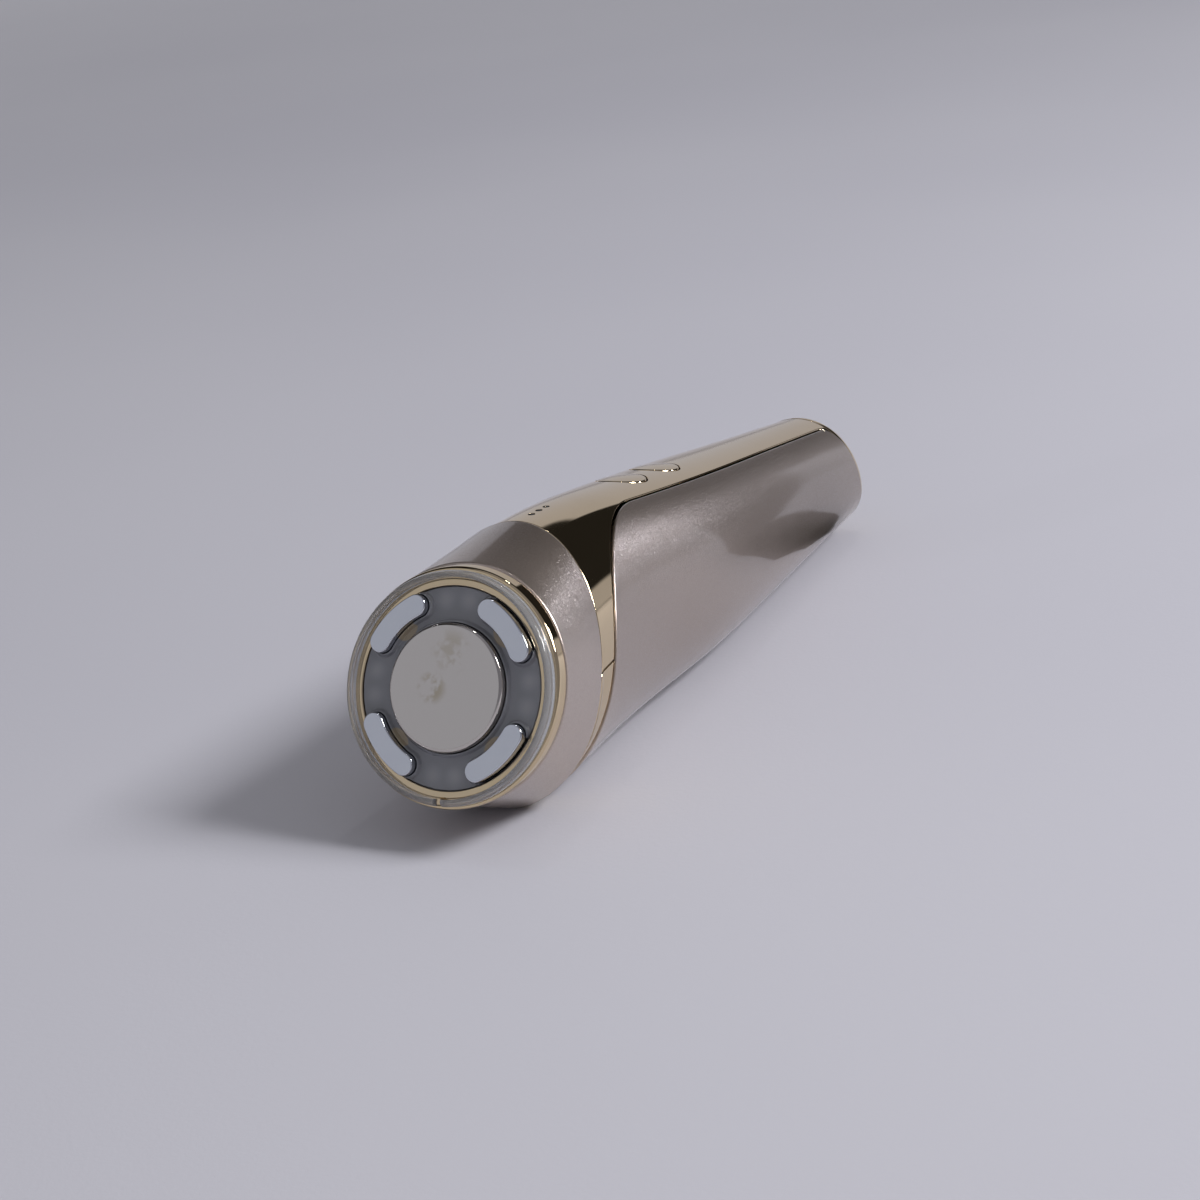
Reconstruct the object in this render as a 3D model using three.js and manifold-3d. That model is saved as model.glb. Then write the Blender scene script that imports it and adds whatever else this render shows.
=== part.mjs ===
// Cordless facial toning wand, lying on its back with the buttons up.
// Millimetres and degrees. The head points to -Y, the tail to +Y, and the table is at z = 0.
// The face has a frame of its own: +Z out of the face, +Y up the face, origin at the rim's centre.

import * as THREE from "three";
import { mergeVertices } from "three/addons/utils/BufferGeometryUtils.js";
import Module from "manifold-3d";

const wasm = await Module();
wasm.setup();

// Fits between neighbouring pieces
const GAP = 0.3; // assembly gap between two pieces that seat on each other
const RUNNING_GAP = 0.35; // round a button in its hole
const THREAD_GAP = 0.15; // round a screw in its pilot hole
const SHAFT_GAP = 0.4; // round a screw in a hole that it only passes through

// Head
const HEAD_TILT = 24.5; // lean of the face back from upright
const HEAD_HEIGHT = 27.1; // rim centre above the table
const RIM_RADIUS = 21.95; // gold bezel, outside
const SLEEVE_RISE = 0.28; // climb of the collar's centre up the face, per millimetre of depth

// Electrodes on the face
const FACE_PROUD = 3.6; // electrode fronts in front of the rim's centre
const DISC_MARGIN = 2.4; // between the disc and the arc electrodes
const DISC_THICKNESS = 2.7;
const DISC_BEVEL = 0.6;
const ARC_MARGIN = 0.25; // between the arc electrodes and the gold lip
const ARC_HALF_WIDTH = 2.05;
const ARC_SPAN = 35; // between the centres of an arc electrode's round ends
const ARC_COUNT = 4;
const ARC_BEVEL = 0.2;

// Bezel, window and cotton ring
const LIP_STEP = 3.45; // from the bezel's outside to the inside of its gold lip
const LIP_FRONT = 1.55;
const LIP_THICKNESS = 0.7;
const LIP_WIDTH = 1.3;
const FLANGE_FRONT = 1.15; // bezel flange that the cotton ring sits on
const FLANGE_BACK = -1.45;
const SPIGOT_DEPTH = 1.25; // bezel spigot inside the collar
const SPIGOT_WALL = 0.6;
const WINDOW_CAPTURE = 0.35; // window's edge behind the gold lip
const WINDOW_THICKNESS = 1.4; // behind the gold lip
const WINDOW_STEP = 0.75; // window's face inside the lip, in front of its edge
const WINDOW_RAISED = 0.9; // lips round the disc and the arc electrodes
const WINDOW_RAISED_WIDTH = 0.45;
const ELECTRODE_FIT = 0.2; // window to the electrodes
const RING_STEP = 0.65; // from the bezel's outside to the cotton ring's
const RING_FRONT = 3.3;
const RING_SLIT = 1.6;

// Electrode carrier and what it holds
const CARRIER_WALL = 1.1;
const CARRIER_FLOOR = 2.5;
const CARRIER_DEPTH = 3.4; // from the window's back to the floor
const LED_BOARD_THICKNESS = 1.0;
const LED_COUNT = 8;
const LED_PAIR_ANGLE = 17; // between the two LEDs of a pair
const LED_SIZE = [2.8, 1.6, 0.7];
const POST_RADIUS = 2.4;
const POST_OFFSET = 1; // from the arc electrodes' centre line
const CONTACT_RADIUS = 1.9;
const CABLE_WIDTH = 6;
const CABLE_THICKNESS = 0.5;
const CABLE_CLEARANCE = 1; // round the cable where it goes through a slot
const LEDGE_THICKNESS = 1.4;
const LEDGE_WIDTH = 6.6; // from the carrier's wall to the ledge's bore
const GASKET_THICKNESS = 0.7;
const GASKET_WIDTH = 1.5;

// Collar
const COLLAR_DEPTH = 18.1; // rear face behind the rim's centre
const COLLAR_WALL = 1.3;
const COLLAR_CHAMFER = 0.45;
const COLLAR_STEP = 0.2; // collar's front outside the bezel

// Handle: rings from the collar's rear face to the tail, at shares of the handle's length. Each
// ring's lean is a share of the head's tilt, its top, widest point and underside are shares of the
// height, and half is its share of the half width. square is the exponent of the upper half's
// outline, where 2 is an ellipse.
const HANDLE_LENGTH = 146;
const HANDLE_HEIGHT = 48.7;
const HANDLE_HALF = 20.5;
const HANDLE_RINGS = [
  { at: 0.0, lean: 1, top: 1, half: 1, widest: 0.441, low: -0.01, square: 2.0 },
  { at: 0.096, lean: 0.714, top: 0.986, half: 0.946, widest: 0.452, low: -0.01, square: 2.05 },
  { at: 0.219, lean: 0.306, top: 0.953, half: 0.92, widest: 0.45, low: -0.01, square: 2.15 },
  { at: 0.377, lean: 0, top: 0.887, half: 0.956, widest: 0.374, low: -0.009, square: 2.25 },
  { at: 0.548, lean: 0, top: 0.801, half: 0.911, widest: 0.317, low: -0.006, square: 2.35 },
  { at: 0.719, lean: 0, top: 0.714, half: 0.829, widest: 0.275, low: 0.002, square: 2.3 },
  { at: 1.0, lean: 0, top: 0.577, half: 0.727, widest: 0.23, low: 0.018, square: 2.0 },
];
const UNDERSIDE_SQUARE = 2.1;
const GRIP_WALL = 2.0;
const GOLD_INSET = 0.35; // gold surfaces below the taupe ones
const GOLD_WALL = 1.5;

// Outline of the grip shell seen from the side
const PANEL_LEAN = 28; // its front edge, back from upright
const BAND_WIDTH = 7.2; // gold band at the seam, along the handle
const PANEL_CORNER = 31; // radius between the front edge and the strip's edge
const STRIP_DROP = 2.3; // strip's edge below the strip's top line
const TAIL_CORNER = 4.5;
const SEAM_HEIGHT = 23.7; // seam between the top cover and the lower band

// Tail cap and charging socket
const TAIL_ROUND = 4.5;
const TAIL_SPIGOT = 3;
const TAIL_SPIGOT_WALL = 1.3;
const SOCKET_WIDTH = 8.94;
const SOCKET_HEIGHT = 3.26;
const SOCKET_LENGTH = 7.3;
const SOCKET_WALL = 0.3;
const SOCKET_RECESS = 0.8; // socket's mouth behind the cap's flat end
const SOCKET_OPENING_FIT = 0.4;
const TONGUE = [6.4, 5.2, 0.7];
const CHARGE_BOARD = [14, 12, 1];
const SHELF_THICKNESS = 1.4;

// Buttons, indicators and main board, placed on the strip
const BUTTON_RADIUS = 5.05;
const BUTTON_START = 55.1; // first button behind the collar's rear face
const BUTTON_PITCH = 15.2;
const BUTTON_RISE = 0.1; // rim above the gold strip, whose curve the button's top follows
const BUTTON_DOME = 0.2;
const BUTTON_FLANGE = 6.1;
const BUTTON_FLANGE_DEPTH = 3.5; // flange's front below the strip's top line
const BUTTON_TRAVEL = 0.4;
const INDICATOR_RADIUS = 0.55;
const INDICATOR_START = 17.3;
const INDICATOR_PITCH = 2.9;
const INDICATOR_COUNT = 3;
const BOARD_DEPTH = 9.2; // board's top below the strip's top line
const BOARD_WIDTH = 20;
const BOARD_THICKNESS = 1.2;
const BOARD_START = 14;
const BOARD_LENGTH = 116;
const BOSS_RADIUS = 2.4;
const BOSS_PLACES = [40, 86, 124]; // behind the collar's rear face
const SWITCH_SIZE = 6;
const SWITCH_HEIGHT = 2.6;
const PLUNGER_RADIUS = 1.6;
const SEAL_SIZE = [13, 30, 0.8];
const TRANSFORMER = [11, 13, 8];
const TRANSFORMER_PLACE = 30;
const CHIP = [7, 7, 1];
const CHIP_PLACE = 100;

// Screws
const SCREW_RADIUS = 0.8;
const SCREW_HEAD_RADIUS = 1.7;
const SCREW_HEAD_HEIGHT = 1.1;
const SCREW_LENGTH = 5;

// Battery
const CELL_RADIUS = 7.2;
const CELL_LENGTH = 50;
const CELL_START = 55;
const CELL_FIT = 0.35;
const CRADLE_FOOT = 4.5; // half width of the cradle's foot
const CRADLE_BASE = 1.3; // under the cell
const CRADLE_WALL = 1.5;
const TAB_THICKNESS = 0.3;
const TAB_WIDTH = 6;

// Facets
const ROUND = 40;
const SMALL_ROUND = 16;
const HANDLE_STEPS = 12;

const deg = THREE.MathUtils.degToRad;
const beyond = HANDLE_HEIGHT; // how far a cutting shape runs past what it cuts
const leanPivot = HANDLE_HEIGHT / 2; // height at which the leaning rings are spaced
const ringRadius = RIM_RADIUS - RING_STEP;
const lipRadius = RIM_RADIUS - LIP_STEP;
const arcRadius = lipRadius - ARC_MARGIN - ARC_HALF_WIDTH;
const discRadius = arcRadius - ARC_HALF_WIDTH - DISC_MARGIN;
const postCentre = arcRadius - POST_OFFSET;
const tiltSin = Math.sin(deg(HEAD_TILT));
const tiltCos = Math.cos(deg(HEAD_TILT));

// Closed geometry with shared corners, facing out.
function closed(geometry) {
  geometry.deleteAttribute("normal");
  geometry.deleteAttribute("uv");
  const merged = mergeVertices(geometry, 1e-4);
  const index = merged.index.array;
  const place = merged.attributes.position;
  const [a, b, c] = [new THREE.Vector3(), new THREE.Vector3(), new THREE.Vector3()];
  const kept = [];
  let volume = 0;
  for (let i = 0; i < index.length; i += 3) {
    const [p, q, r] = [index[i], index[i + 1], index[i + 2]];
    if (p === q || q === r || r === p) continue;
    a.fromBufferAttribute(place, p);
    b.fromBufferAttribute(place, q);
    c.fromBufferAttribute(place, r);
    volume += a.dot(b.cross(c));
    kept.push(p, q, r);
  }
  if (volume < 0) kept.reverse();
  merged.setIndex(kept);
  return merged;
}

function toSolid(geometry) {
  const shape = closed(geometry);
  return new wasm.Manifold(new wasm.Mesh({
    numProp: 3,
    vertProperties: new Float32Array(shape.attributes.position.array),
    triVerts: new Uint32Array(shape.index.array),
  }));
}

function toGeometry(solid) {
  const mesh = solid.getMesh();
  const geometry = new THREE.BufferGeometry();
  geometry.setAttribute("position", new THREE.BufferAttribute(new Float32Array(mesh.vertProperties), 3));
  geometry.setIndex(new THREE.BufferAttribute(new Uint32Array(mesh.triVerts), 1));
  return geometry;
}

// A solid turned from a closed (radius, height) outline about the Z axis.
function turned(outline, segments = ROUND) {
  const points = [...outline, outline[0]].map(([radius, height]) => new THREE.Vector2(radius, height));
  return new THREE.LatheGeometry(points, segments).rotateX(Math.PI / 2);
}

function tube(inner, outer, low, high, segments = ROUND) {
  return turned([[inner, low], [outer, low], [outer, high], [inner, high]], segments);
}

function rod(radius, low, high, segments = SMALL_ROUND) {
  return turned([[0, low], [radius, low], [radius, high], [0, high]], segments);
}

function block(width, length, height) {
  return new THREE.BoxGeometry(width, length, height);
}

function slab(shape, low, high, curveSegments = 8) {
  const options = { depth: high - low, bevelEnabled: false, curveSegments };
  return new THREE.ExtrudeGeometry(shape, options).translate(0, 0, low);
}

// Extrudes an outline drawn in (y, z) along X, evenly to both sides.
function sideSlab(shape, width, curveSegments = 12) {
  const turn = new THREE.Matrix4().makeBasis(
    new THREE.Vector3(0, 1, 0),
    new THREE.Vector3(0, 0, 1),
    new THREE.Vector3(1, 0, 0),
  );
  return slab(shape, -width / 2, width / 2, curveSegments).applyMatrix4(turn);
}

// Skins a row of rings with equal counts of points, and closes both ends.
function loft(rings) {
  const count = rings[0].length;
  const places = rings.flat();
  const faces = [];
  for (let row = 0; row < rings.length - 1; row += 1) {
    for (let i = 0; i < count; i += 1) {
      const next = (i + 1) % count;
      const [a, b] = [row * count + i, row * count + next];
      const [c, d] = [a + count, b + count];
      faces.push(a, b, d, a, d, c);
    }
  }
  for (const [row, flip] of [[0, true], [rings.length - 1, false]]) {
    const middle = new THREE.Vector3();
    rings[row].forEach((point) => middle.addScaledVector(point, 1 / count));
    places.push(middle);
    for (let i = 0; i < count; i += 1) {
      const [a, b] = [row * count + i, row * count + ((i + 1) % count)];
      faces.push(...(flip ? [b, a, places.length - 1] : [a, b, places.length - 1]));
    }
  }
  const geometry = new THREE.BufferGeometry().setFromPoints(places);
  geometry.setIndex(faces);
  return geometry;
}

// Colours from the photograph
const finish = (color, roughness, metalness, extra = {}) =>
  ({ color, roughness, metalness, ...extra });
const TAUPE = finish(0x8f8583, 0.38, 0.75);
const GOLD = finish(0xc4b48e, 0.08, 1);
const STEEL = finish(0xa0a3ab, 0.12, 1);
const DISC_STEEL = finish(0x94918e, 0.14, 1);
const CLEAR = finish(0xd9dbd8, 0.08, 0, { transparent: true, opacity: 0.4 });
const SMOKE = finish(0x4f5056, 0.1, 0, { transparent: true, opacity: 0.7 });
const BLACK = finish(0x1d1d20, 0.5, 0);
const WHITE = finish(0xe6e6e2, 0.5, 0);
const SILICONE = finish(0x55585c, 0.8, 0);
const BOARD_GREEN = finish(0x1f5a3a, 0.55, 0);
const CONTACT_GOLD = finish(0xcfae6a, 0.2, 1);
const CELL_BLUE = finish(0x2f6fae, 0.45, 0);
const NICKEL = finish(0xb9bbbe, 0.28, 1);
const FERRITE = finish(0x34343a, 0.6, 0.1);
const CABLE_AMBER = finish(0xa8672a, 0.45, 0);
const LED_CREAM = finish(0xe9e3c0, 0.35, 0);

function piece(parent, name, shape, look) {
  const geometry = shape.isBufferGeometry ? closed(shape) : toGeometry(shape);
  geometry.computeVertexNormals();
  const mesh = new THREE.Mesh(geometry, new THREE.MeshStandardMaterial(look));
  mesh.name = name;
  parent.add(mesh);
  return mesh;
}

// Handle surface, inset evenly from the outside
const handleKeys = ["lean", "top", "half", "widest", "low", "square"];
const handleCurve = new THREE.CubicInterpolant(
  HANDLE_RINGS.map((ring) => ring.at),
  HANDLE_RINGS.flatMap((ring) => handleKeys.map((key) => ring[key])),
  handleKeys.length,
);

const handleScales = [HEAD_TILT, HANDLE_HEIGHT, HANDLE_HALF, HANDLE_HEIGHT, HANDLE_HEIGHT, 1];

function handleAt(share) {
  const values = handleCurve.evaluate(share);
  return Object.fromEntries(handleKeys.map((key, i) => [key, values[i] * handleScales[i]]));
}

// Height of the underside's inner face at a place along the handle, x from the middle
function innerFloor(share, x) {
  const { half, widest, low } = handleAt(share);
  const reach = (1 - (x / (half - GRIP_WALL)) ** UNDERSIDE_SQUARE) ** (1 / UNDERSIDE_SQUARE);
  return Math.max(widest - (widest - low - GRIP_WALL) * reach, GRIP_WALL);
}

// Place along Y of the collar's rear face at a height
function collarRearAt(height) {
  return (COLLAR_DEPTH + (height - HEAD_HEIGHT) * tiltSin) / tiltCos;
}
const handleStart = collarRearAt(leanPivot);
const tailFace = handleStart + HANDLE_LENGTH;

function handleRing(share, inset = 0) {
  const { lean, top, half, widest, low, square } = handleAt(share);
  const slope = Math.tan(deg(lean));
  const centre = handleStart + share * HANDLE_LENGTH;
  const points = [];
  for (let i = 0; i < ROUND; i += 1) {
    const angle = ((i + 0.5) / ROUND) * 2 * Math.PI;
    const [c, s] = [Math.cos(angle), Math.sin(angle)];
    const power = 2 / (s > 0 ? square : UNDERSIDE_SQUARE);
    const reach = s > 0 ? top - inset - widest : widest - low - inset;
    const x = (half - inset) * Math.sign(c) * Math.abs(c) ** power;
    const z = Math.max(widest + reach * Math.sign(s) * Math.abs(s) ** power, inset);
    points.push(new THREE.Vector3(x, centre + (z - leanPivot) * slope, z));
  }
  return points;
}

function handleBody(inset, from = 0, to = 1, steps = HANDLE_STEPS) {
  const rings = [];
  for (let i = 0; i <= steps; i += 1) rings.push(handleRing(from + ((to - from) * i) / steps, inset));
  return toSolid(loft(rings));
}

function shell(inset, wall, from, to) {
  const margin = 0.05;
  const core = handleBody(inset + wall, from - margin, to + margin, HANDLE_STEPS - 5);
  return handleBody(inset, from, to).subtract(core);
}

// Strip's top line: straight between two heights of the handle's top
const stripShare = HANDLE_RINGS[2].at;
const stripStart = handleAt(stripShare);
const stripFront = handleStart + stripShare * HANDLE_LENGTH
  + (stripStart.top - leanPivot) * Math.tan(deg(stripStart.lean));
const stripSlope = Math.atan((stripStart.top - handleAt(1).top) / (tailFace - stripFront));

// Height of the strip's top line at a place along Y
function stripHeight(y) {
  return stripStart.top - (y - stripFront) * Math.tan(stripSlope);
}

// Top of the handle at a place along Y, where the rings may lean
function topAt(y) {
  let share = (y - handleStart) / HANDLE_LENGTH;
  for (let i = 0; i < 12; i += 1) {
    const ring = handleAt(share);
    const top = handleStart + share * HANDLE_LENGTH + (ring.top - leanPivot) * Math.tan(deg(ring.lean));
    share += (y - top) / HANDLE_LENGTH;
  }
  return handleAt(share).top;
}

// Height of the handle's upper skin beside its top line, where the rings stand upright
function skinHeight(x, y) {
  const { top, half, widest, square } = handleAt((y - handleStart) / HANDLE_LENGTH);
  const share = (1 - Math.abs(x / half) ** square) ** (1 / square);
  return widest + (top - widest) * share;
}

// Outline of the grip shell from the side: a leaning front edge and the strip's edge, joined by
// a large fillet, then a small corner at the tail. A positive offset grows it.
function panelOutline(offset) {
  const frontNormal = new THREE.Vector2(-Math.cos(deg(PANEL_LEAN)), Math.sin(deg(PANEL_LEAN)));
  const stripNormal = new THREE.Vector2(Math.sin(stripSlope), Math.cos(stripSlope));
  const frontReach = frontNormal.dot(new THREE.Vector2(collarRearAt(SEAM_HEIGHT) + BAND_WIDTH, SEAM_HEIGHT));
  const edgePoint = new THREE.Vector2(stripFront, stripStart.top - STRIP_DROP);
  const stripReach = stripNormal.dot(edgePoint);
  const cross = frontNormal.x * stripNormal.y - frontNormal.y * stripNormal.x;
  const meet = (a, b) => new THREE.Vector2(
    (a * stripNormal.y - b * frontNormal.y) / cross,
    (b * frontNormal.x - a * stripNormal.x) / cross,
  );
  const centre = meet(frontReach - PANEL_CORNER, stripReach - PANEL_CORNER);
  const radius = PANEL_CORNER + offset;
  const frontAngle = frontNormal.angle();
  const stripAngle = stripNormal.angle();
  const tailY = tailFace - TAIL_CORNER;
  const tailZ = (stripReach - TAIL_CORNER - stripNormal.x * tailY) / stripNormal.y;
  const depth = -beyond;
  const footY = (frontReach + offset - frontNormal.y * depth) / frontNormal.x;
  const outline = new THREE.Shape();
  outline.moveTo(footY, depth);
  outline.lineTo(centre.x + radius * Math.cos(frontAngle), centre.y + radius * Math.sin(frontAngle));
  outline.absarc(centre.x, centre.y, radius, frontAngle, stripAngle, true);
  outline.absarc(tailY, tailZ, TAIL_CORNER + offset, stripAngle, 0, true);
  return { outline, depth, tailEnd: tailFace + offset };
}

function gripRegion() {
  const { outline, depth, tailEnd } = panelOutline(0);
  outline.lineTo(tailEnd, depth);
  return toSolid(sideSlab(outline, 2 * beyond));
}

function coverRegion() {
  const { outline, depth, tailEnd } = panelOutline(GAP);
  const [high, front] = [2 * beyond, -beyond];
  outline.lineTo(tailEnd + beyond, outline.currentPoint.y);
  outline.lineTo(tailEnd + beyond, high);
  outline.lineTo(front, high);
  outline.lineTo(front, depth);
  return toSolid(sideSlab(outline, 2 * beyond));
}

// A group whose Z axis stands square on the strip's top line, at a place behind the collar
function onStrip(place) {
  const group = new THREE.Group();
  const y = handleStart + place;
  group.position.set(0, y, stripHeight(y));
  group.rotation.x = -stripSlope;
  group.updateMatrix();
  return group;
}

function placed(geometry, group) {
  return toSolid(geometry.applyMatrix4(group.matrix));
}

const buttonPlaces = [BUTTON_START, BUTTON_START + BUTTON_PITCH];
const indicatorPlaces = Array.from(
  { length: INDICATOR_COUNT },
  (_, i) => INDICATOR_START + i * INDICATOR_PITCH,
);

// Gold top cover: strip, upper half of the band, button and indicator holes, screw bosses
function makeCovers(device) {
  const gold = shell(GOLD_INSET, GOLD_WALL, GAP / HANDLE_LENGTH, 1).intersect(coverRegion());
  const belowSeam = (height) => toSolid(block(2 * beyond, beyond, 2 * beyond)
    .translate(0, handleStart, height - beyond));
  let cover = gold.subtract(belowSeam(SEAM_HEIGHT + GAP / 2));
  const band = gold.intersect(belowSeam(SEAM_HEIGHT - GAP / 2));
  for (const place of BOSS_PLACES) {
    const group = onStrip(place);
    const top = topAt(handleStart + place) - stripHeight(handleStart + place) - GOLD_INSET - GOLD_WALL / 2;
    const boss = placed(rod(BOSS_RADIUS, -BOARD_DEPTH + GAP, top), group);
    const pilot = rod(SCREW_RADIUS + THREAD_GAP, -BOARD_DEPTH - 1, top - GOLD_WALL);
    cover = cover.add(boss).subtract(placed(pilot, group));
  }
  for (const place of buttonPlaces) {
    const hole = rod(BUTTON_RADIUS + RUNNING_GAP, -BUTTON_FLANGE_DEPTH, beyond, 28);
    cover = cover.subtract(placed(hole, onStrip(place)));
  }
  for (const place of indicatorPlaces) {
    const hole = rod(INDICATOR_RADIUS + THREAD_GAP, -BUTTON_FLANGE_DEPTH, beyond, 10);
    cover = cover.subtract(placed(hole, onStrip(place)));
  }
  piece(device, "top_cover", cover, GOLD);
  piece(device, "lower_band", band, GOLD);
}

// Taupe grip shell round the sides and the underside
function makeGrip(device) {
  let grip = shell(0, GRIP_WALL, GAP / HANDLE_LENGTH, 1).intersect(gripRegion());
  for (const place of buttonPlaces) {
    const relief = rod(BUTTON_FLANGE + GAP, -BOARD_DEPTH, beyond, 28);
    grip = grip.subtract(placed(relief, onStrip(place)));
  }
  piece(device, "grip_shell", grip, TAUPE);
}

// Head collar: round in front and oval behind, with a ledge for the carrier's screws
function collarRing(depth, inset) {
  const [front, back] = [-FLANGE_BACK + GAP, COLLAR_DEPTH];
  const share = (depth - front) / (back - front);
  const rear = handleRing(0, inset).map((point) => intoFace(point));
  return rear.map((point, i) => {
    const angle = ((i + 0.5) / ROUND) * 2 * Math.PI;
    const radius = RIM_RADIUS + COLLAR_STEP - inset;
    const rise = SLEEVE_RISE * (front + FLANGE_FRONT);
    const start = new THREE.Vector3(radius * Math.cos(angle), rise + radius * Math.sin(angle), -depth);
    const x = THREE.MathUtils.lerp(start.x, point.x, share);
    const y = THREE.MathUtils.lerp(start.y, point.y, share);
    return new THREE.Vector3(x, y, -depth);
  });
}

// From the body's frame to the face's
function intoFace(point) {
  const [y, z] = [point.y, point.z - HEAD_HEIGHT];
  return new THREE.Vector3(point.x, y * tiltSin + z * tiltCos, -y * tiltCos + z * tiltSin);
}

const windowFront = LIP_FRONT - LIP_THICKNESS - GAP;
const windowBack = windowFront - WINDOW_THICKNESS;
const carrierTop = windowBack - GAP;
const floorFront = carrierTop - CARRIER_DEPTH;
const floorBack = floorFront - CARRIER_FLOOR;
const gasketBack = floorBack - GAP - GASKET_THICKNESS;
const ledgeFront = gasketBack - GAP;
const ledgeBack = ledgeFront - LEDGE_THICKNESS;
const boardFront = floorFront + GAP + LED_BOARD_THICKNESS;
const riserRadius = lipRadius + LIP_WIDTH;
const carrierRadius = lipRadius + WINDOW_CAPTURE;
const boreRadius = discRadius + ELECTRODE_FIT;
const towerRadius = boreRadius - GAP;
const carrierScrewAngles = [30, 150, 270];
const ledgeBore = carrierRadius - LEDGE_WIDTH;

function makeCollar(head) {
  const front = -FLANGE_BACK + GAP;
  const outer = (inset) => toSolid(loft([
    collarRing(front, COLLAR_CHAMFER + inset),
    collarRing(front + COLLAR_CHAMFER, inset),
    collarRing((front + COLLAR_DEPTH) / 2, inset),
    collarRing(COLLAR_DEPTH - COLLAR_CHAMFER, inset),
    collarRing(COLLAR_DEPTH, COLLAR_CHAMFER + inset),
  ]));
  const coreRings = [collarRing(front - 2, COLLAR_WALL), collarRing(COLLAR_DEPTH + 2, COLLAR_WALL)];
  const core = toSolid(loft(coreRings));
  const zoneCentre = ledgeFront - LEDGE_THICKNESS / 2;
  const zone = toSolid(block(2 * beyond, 2 * beyond, LEDGE_THICKNESS).translate(0, 0, zoneCentre));
  let ledge = outer(COLLAR_WALL / 2).intersect(zone);
  ledge = ledge.subtract(toSolid(rod(ledgeBore, ledgeBack - 1, ledgeFront + 1, 28)));
  for (const angle of carrierScrewAngles) {
    const bore = rod(SCREW_RADIUS + SHAFT_GAP, ledgeBack - 1, ledgeFront + 1);
    ledge = ledge.subtract(toSolid(atAngle(bore, angle)));
  }
  const slot = toSolid(block(CABLE_WIDTH + 2 * CABLE_CLEARANCE, 4 * CABLE_CLEARANCE, beyond)
    .translate(0, postCentre, ledgeBack));
  piece(head, "head_collar", outer(0).subtract(core).add(ledge.subtract(slot)), TAUPE);
}

function atAngle(geometry, angle, radius = postCentre) {
  return geometry.translate(radius, 0, 0).rotateZ(deg(angle));
}

// Bean outline on the arc's centre line, grown by a margin
function beanShape(margin) {
  const half = deg(ARC_SPAN / 2);
  const width = ARC_HALF_WIDTH + margin;
  const [spanSteps, endSteps] = [6, 7];
  const arc = (centre, radius, from, to, steps) => Array.from({ length: steps + 1 }, (_, i) => {
    const angle = from + ((to - from) * i) / steps;
    return new THREE.Vector2(centre[0] + radius * Math.cos(angle), centre[1] + radius * Math.sin(angle));
  });
  const end = (side) => [arcRadius * Math.cos(half), side * arcRadius * Math.sin(half)];
  return new THREE.Shape([
    ...arc([0, 0], arcRadius + width, -half, half, spanSteps),
    ...arc(end(1), width, half, half + Math.PI, endSteps).slice(1),
    ...arc([0, 0], arcRadius - width, half, -half, spanSteps).slice(1),
    ...arc(end(-1), width, Math.PI - half, 2 * Math.PI - half, endSteps).slice(1, -1),
  ]);
}

const arcAngles = Array.from({ length: ARC_COUNT }, (_, i) => (i + 0.5) * (360 / ARC_COUNT));

function makeBezel(head) {
  const back = FLANGE_BACK - SPIGOT_DEPTH;
  const inside = carrierRadius + GAP;
  const outline = [
    [lipRadius, LIP_FRONT - LIP_THICKNESS],
    [inside, LIP_FRONT - LIP_THICKNESS],
    [inside, back],
    [inside + SPIGOT_WALL, back],
    [inside + SPIGOT_WALL, FLANGE_BACK],
    [RIM_RADIUS, FLANGE_BACK],
    [RIM_RADIUS, FLANGE_FRONT - 1],
    [(RIM_RADIUS + ringRadius) / 2, FLANGE_FRONT - 0.3],
    [ringRadius, FLANGE_FRONT],
    [riserRadius, FLANGE_FRONT],
    [riserRadius, LIP_FRONT - 0.15],
    [riserRadius - 0.15, LIP_FRONT],
    [lipRadius + 0.15, LIP_FRONT],
    [lipRadius, LIP_FRONT - 0.15],
  ];
  const bezel = closed(turned(outline));
  const place = bezel.attributes.position;
  for (let i = 0; i < place.count; i += 1) {
    const radius = Math.hypot(place.getX(i), place.getY(i));
    const rise = radius > ringRadius + 0.1 ? SLEEVE_RISE * Math.max(FLANGE_FRONT - place.getZ(i), 0) : 0;
    place.setY(i, place.getY(i) + rise);
  }
  piece(head, "rim_bezel", bezel, GOLD);
}

function makeWindow(head) {
  const fit = ELECTRODE_FIT;
  const plate = new THREE.Shape();
  plate.absarc(0, 0, carrierRadius, 0, 2 * Math.PI, false);
  let pane = toSolid(slab(plate, windowBack, windowFront, ROUND / 2));
  const face = windowFront + WINDOW_STEP;
  const raised = face + WINDOW_RAISED;
  const trim = toSolid(rod(lipRadius - fit, windowBack - 1, FACE_PROUD, ROUND));
  pane = pane.add(toSolid(rod(lipRadius - fit, windowBack, face, ROUND)));
  pane = pane.add(toSolid(rod(boreRadius + WINDOW_RAISED_WIDTH, windowBack, raised, ROUND)));
  for (const angle of arcAngles) {
    const turn = (shape, low, high) => toSolid(slab(shape, low, high).rotateZ(deg(angle)));
    const collar = turn(beanShape(fit + WINDOW_RAISED_WIDTH), windowBack, raised);
    pane = pane.add(collar.intersect(trim));
    pane = pane.subtract(turn(beanShape(fit), windowBack - 1, FACE_PROUD));
  }
  const bore = toSolid(rod(boreRadius, windowBack - 1, FACE_PROUD, ROUND));
  piece(head, "face_window", pane.subtract(bore), SMOKE);
}

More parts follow.
